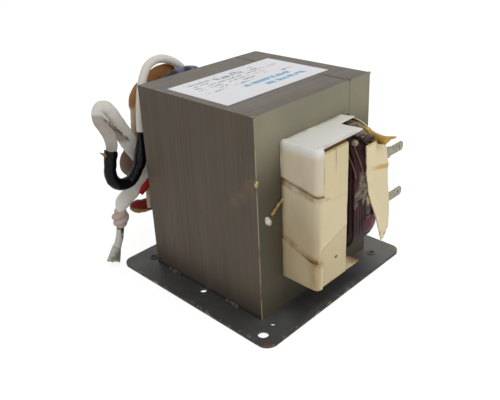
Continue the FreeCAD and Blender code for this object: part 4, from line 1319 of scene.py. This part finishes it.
class TRANSFORMER_OT_leads(bpy.types.Operator):
    """Sleeved leads that leave the rear heads"""

    bl_idname = "transformer.leads"
    bl_label = "Leads"

    def execute(self, context):
        s = sizes()
        self.white(s)
        self.black(s)
        knot = self.knot()
        lower = self.lower(s)
        self.loop(s, [knot, lower, *self.frayed(s)])
        self.brown(s)
        self.top(s)
        self.stubs(s)
        return {"FINISHED"}

    def cord(self, obj, route, width, span, far_end, **facts):
        """Turns a cord's span and width from millimetres into metres, and keeps neither."""
        span * MM
        width * MM

    def white(self, s):
        """Woven sleeve that arches over the rear head."""
        c = colours()
        width = s["white_lead"]
        cloth = woven("white_lead_weave", c.sleeve, c.brown, self.inner_stain, WHITE_SPAN, width * math.pi)
        obj = curve_piece(
            "white_lead_sleeve", [WHITE_LEAD], width, cloth, ["white_lead"], "NURBS",
            sides=5,
        )
        self.cord(obj, WHITE_LEAD, width, WHITE_SPAN, "object")

    def inner_stain(self, m):
        """Brown on the inner side of the arch."""
        return m.rise(m.z, 104.0, 100.0) * m.clouds(0.5, 0.64, 3.0) * m.rise(m.x, -16.0, -4.0) * 0.7

    def black(self, s):
        """Black sleeve, pinched where it starts and torn at its far end."""
        half = s["black_sleeve"] / 2
        line = route_points(BLACK_SLEEVE)

        def section(u):
            grow = 0.45 + 0.55 * climb(u, 0.0, 0.16)
            pinch = 1 - 0.12 * hill(u, 0.34, 0.03) - 0.08 * hill(u, 0.4, 0.02)
            flare = 1 + 0.1 * climb(u, 0.92, 1.0) + 0.12 * hill(u, 0.22, 0.08)
            radius = half * grow * pinch * flare
            return radius, radius

        bm = tube(line, section, lambda u: Vector((-1.0, -1.0, 0.6)), 120, 28, 2.4)
        wobble(bm, 0.3, 3.0)
        obj = mesh_piece("black_sleeve_u", bm, glossy_black(), ["black_sleeve"], 70.0)
        wall(obj, 0.5, -1.0)
        self.cord(obj, BLACK_SLEEVE, s["black_sleeve"], BLACK_SPAN, "object", path=line)
        self.whisker()

    def whisker(self):
        """Bare copper strands that stick out of the torn end."""
        root = Vector((-0.0592, 0.05, 0.0708))
        tip = Vector((-0.0632, 0.0496, 0.0722))
        routes = []
        for i in range(5):
            spread = Vector((-0.0003 * i, 0.0004 * i, 0.0006 * (i - 2)))
            routes.append([root, root.lerp(tip, 0.5) + spread * 0.6, tip + spread])
        curve_piece("copper_whisker", routes, 0.45, bare_wire(), kind="NURBS", sides=1)

    def loop(self, s, pieces):
        """Woven sleeve, pressed flat and folded over, which opens towards the knot."""
        c = colours()
        # The grey brown is painted shade on the inner arm and behind the black sleeve, with dark specks of
        # dirt
        cloth = woven("flat_loop_weave", c.sleeve, srgb(128, 112, 98), self.loop_shade, LOOP_SPAN, 19.0)
        line = route_points(LOOP_SLEEVE)
        half = s["loop_width"] / 2
        thin = s["loop_thickness"] / 2

        def section(u):
            open_again = climb(u, 0.62, 0.9)
            narrow = climb(u, 0.94, 1.0)
            start = climb(u, 0.0, 0.12)
            pressed = 0.9 + 0.22 * climb(u, 0.4, 0.56)
            width = half * (0.75 + 0.25 * start) * (pressed - 0.14 * open_again - 0.35 * narrow)
            return width, thin + (2.6 - thin) * open_again

        bm = tube(line, section, lambda u: Vector((-0.65, -0.65, 0.4)), 150, 24)
        wobble(bm, 0.25, 3.4)
        obj = mesh_piece("flat_loop", bm, cloth, ["loop_sleeve"], 70.0)
        self.cord(obj, LOOP_SLEEVE, s["loop_width"], LOOP_SPAN, "knot", path=line, with_pieces=pieces)

    def loop_shade(self, m):
        """Painted shade on the loop's inner arm, in its fold and where it passes behind the black sleeve,
        with dark specks along the inner arm's edge.
        """
        beside = 0.73 * m.x - 0.37 * m.y + 0.58 * m.z
        inner = m.rise(beside, -9.0, -10.0) * m.rise(m.z, 92.5, 90.0) * m.rise(m.z, 70.0, 74.0)
        behind = m.band(m.z, 50.0, 66.0, 4.0) * m.rise(m.x, -42.0, -37.0)
        frays = m.band(beside, -10.6, -9.0, 0.4) * m.band(m.z, 73.0, 88.0, 2.0)
        return inner * (0.4 + 0.4 * m.noise(3.0)) + behind * 0.45 + frays * m.spots(1.1, 0.6)

    def knot(self):
        """The sleeve wound over itself and pulled tight."""
        c = colours()
        cloth = woven("knot_weave", c.pink, srgb(140, 108, 96), 0.4, 60.0, 10.0)
        top = Vector(LOOP_SLEEVE[-1]) / MM
        end = Vector(LOWER_SLEEVE[0]) / MM
        axis = (end - top).normalized()
        side = axis.cross(Vector((0.0, 1.0, 0.0))).normalized()
        front = axis.cross(side)
        strands = []
        steps = 21
        for phase in (0.0, math.pi):
            route = []
            for i in range(steps + 1):
                t = i / steps
                angle = phase + t * 2.6 * math.pi
                spread = 2.9 * math.sin(math.pi * t) ** 0.6
                place = top + axis * (t * ((end - top).length - 1.0) - 0.8)
                place += side * math.cos(angle) * spread + front * math.sin(angle) * spread
                route.append(place * MM)
            strands.append(route)
        return curve_piece(
            "knot_turns", strands, 4.2, cloth, ["lead_knot"], "NURBS", sides=4,
        )

    def lower(self, s):
        """The sleeve between the knot and its frayed end."""
        c = colours()
        width = s["lower_sleeve"]
        pale = tint(c.sleeve, 0.82)
        dirt = srgb(62, 58, 54)
        cloth = woven("lower_sleeve_weave", pale, dirt, self.right_strip, LOWER_SPAN, width * math.pi)
        return curve_piece(
            "lower_sleeve_tube", [LOWER_SLEEVE], width, cloth, ["lower_sleeve"], "NURBS",
            sides=5,
        )

    def right_strip(self, m):
        """A dark strip down the side that faces the core."""
        return m.rise(m.x - m.y, -112.4, -111.2) * m.clouds(0.3, 0.5, 2.0)

    def frayed(self, s):
        """The sleeve's end, opened like a trumpet, with its strands inside."""
        pale = woven("frayed_weave", srgb(206, 204, 188), srgb(96, 88, 70), 0.5, 10.0, 16.0)
        last = Vector(LOWER_SLEEVE[-1])
        line = route_points([
            last + Vector((0.0004, -0.0002, 0.0012)), Vector((-0.0578, 0.0618, 0.0062)),
            Vector((-0.0592, 0.061, 0.0042)), Vector((-0.0606, 0.0602, 0.0022)),
        ])
        wide = s["frayed"] / 2
        narrow = 2.3

        def section(u):
            return narrow + (wide - narrow) * u, 2.2 + 0.8 * u

        across = Vector((0.707, -0.707, 0.0))
        bm = tube(line, section, lambda u: Vector((-0.707, -0.707, 0.0)), 24, 28, 1.6)
        wobble(bm, 0.35, 1.6)
        cuff = mesh_piece("frayed_cuff", bm, pale, ["frayed_end"], 70.0)
        wall(cuff, 0.4, -1.0)
        way = (line[-1] - line[0]).normalized()
        deep = way.cross(across)
        routes = []
        count = 60
        for i in range(count):
            angle = i * 2.4
            share = math.sqrt((i + 0.5) / count)
            spread = across * (math.cos(angle) * share * wide) + deep * (math.sin(angle) * share * 2.6)
            longer = 1.0 + 0.16 * noise.noise(Vector((i * 3.1, 0.0, 0.0)))
            end = line[0].lerp(line[-1], longer) + spread * MM * 1.05
            start = line[0] + spread * MM * 0.5
            routes.append([start, start.lerp(end, 0.5), end])
        strands = curve_piece(
            "frayed_strands", routes, 0.55, pale, ["frayed_end"], "NURBS", sides=1,
        )
        return cuff, strands

    def brown(self, s):
        """Sleeve soaked with varnish: flat in the arch, round over the core's corner, flat again below."""
        c = colours()
        half = s["brown_sleeve"] / 2
        girth = half * 2 * math.pi
        cloth = woven("brown_weave", c.brown, self.below_corner, self.past_corner, BROWN_SPAN, girth, 0.5)
        line = route_points(BROWN_SLEEVE)
        behind = Vector((0.0, -1.0, 0.0))
        corner = Vector((-0.707, -0.707, 0.1))

        def section(u):
            arch = climb(u, 0.04, 0.12) * (1 - climb(u, 0.26, 0.36))
            flap = climb(u, 0.72, 0.78) * (1 - climb(u, 0.9, 0.98))
            hidden = climb(u, 0.5, 0.56) * (1 - climb(u, 0.72, 0.78)) * 0.22
            width = half * (1 + 0.7 * arch + 0.6 * flap - hidden)
            return width, half * (1 - 0.4 * arch - 0.4 * flap - hidden)

        bm = tube(line, section, lambda u: behind.lerp(corner, climb(u, 0.34, 0.46)), 140, 20)
        wobble(bm, 0.3, 3.4)
        obj = mesh_piece("brown_sleeve_bend", bm, cloth, ["brown_sleeve"], 70.0)
        self.cord(obj, BROWN_SLEEVE, s["brown_sleeve"], BROWN_SPAN, "object", path=line)

    def past_corner(self, m):
        """All that hangs below the core's corner."""
        return m.rise(m.z, 93.0, 88.0)

    def below_corner(self, m):
        """Pinkish tan behind the loop, and a greyer brown at the lowest bend."""
        return m.mix(m.rise(m.z, 72.0, 64.0), srgb(194, 170, 148), srgb(112, 88, 76))

    def top(self, s):
        """Black sleeve with pale specks that lies on the rear head."""
        c = colours()
        width = s["top_sleeve"]
        cloth = woven("speckled_weave", srgb(110, 112, 146), c.black, 0.72, TOP_SPAN, width * math.pi, 0.5)
        obj = curve_piece(
            "speckled_sleeve", [TOP_SLEEVE], width, cloth, ["top_sleeve"], "NURBS",
            sides=5,
        )
        self.cord(obj, TOP_SLEEVE, width, TOP_SPAN, "object")

    def stubs(self, s):
        """The red sleeve's rounded end and its root, and a cream strand beside them."""
        c = colours()
        half = s["red_sleeve"] / 2
        red = woven("red_weave", c.red, srgb(158, 130, 78), self.tan_part, RED_SPAN, half * 2 * math.pi, 0.5)

        def section(u):
            rounded = math.sqrt(1 - max(0.0, (u - 0.76) / 0.24) ** 2)
            return half * 1.25 * rounded + 0.05, half * rounded + 0.05

        bm = tube(route_points(RED_SLEEVE), section, lambda u: Vector((0.0, -1.0, 0.0)), 40, 24)
        wobble(bm, 0.3, 2.4)
        mesh_piece("red_sleeve_end", bm, red, ["red_sleeve"], 70.0)
        bright = woven("red_root_weave", srgb(178, 34, 20), srgb(96, 26, 18), 0.3, 12.0, 9.0, 0.5)
        curve_piece("red_sleeve_root", [RED_ROOT], 4.4, bright, (), "NURBS")
        cream = woven("cream_weave", srgb(204, 190, 158), srgb(140, 110, 70), 0.3, 12.0, 9.0)
        curve_piece(
            "cream_strand_end", [CREAM_STRAND], 3.0, cream, ["cream_strand"], "NURBS",
        )

    def tan_part(self, m):
        """Tan below and at the rounded end."""
        return m.rise(m.z + 0.35 * m.x + 2.0 * m.noise(3.0), 16.6, 15.0)


class TRANSFORMER_PT_panel(bpy.types.Panel):
    """Builds the transformer piece by piece"""

    bl_idname = "TRANSFORMER_PT_panel"
    bl_label = "Microwave Transformer"
    bl_space_type = "VIEW_3D"
    bl_region_type = "UI"
    bl_category = "Transformer"

    def draw(self, context):
        layout = self.layout
        for operator in OPERATORS:
            layout.operator(operator.bl_idname)
        for group in (context.scene.transformer_sizes, context.scene.transformer_colours):
            column = layout.column()
            for name in group.__annotations__:
                column.prop(group, name)


OPERATORS = (
    TRANSFORMER_OT_stage,
    TRANSFORMER_OT_core,
    TRANSFORMER_OT_windings,
    TRANSFORMER_OT_paper_box,
    TRANSFORMER_OT_primary_front,
    TRANSFORMER_OT_ground,
    TRANSFORMER_OT_label,
    TRANSFORMER_OT_leads,
)
CLASSES = (TransformerSizes, TransformerColours, *OPERATORS, TRANSFORMER_PT_panel)


def register():
    for cls in CLASSES:
        bpy.utils.register_class(cls)
    bpy.types.Scene.transformer_sizes = PointerProperty(type=TransformerSizes)
    bpy.types.Scene.transformer_colours = PointerProperty(type=TransformerColours)


def unregister():
    del bpy.types.Scene.transformer_colours
    del bpy.types.Scene.transformer_sizes
    for cls in reversed(CLASSES):
        bpy.utils.unregister_class(cls)


def main():
    register()
    bpy.ops.transformer.stage()
    bpy.ops.transformer.core()
    bpy.ops.transformer.windings()
    bpy.ops.transformer.paper_box()
    bpy.ops.transformer.primary_front()
    bpy.ops.transformer.ground()
    bpy.ops.transformer.label()
    bpy.ops.transformer.leads()
    bpy.context.view_layer.update()


if __name__ == "__main__":
    main()
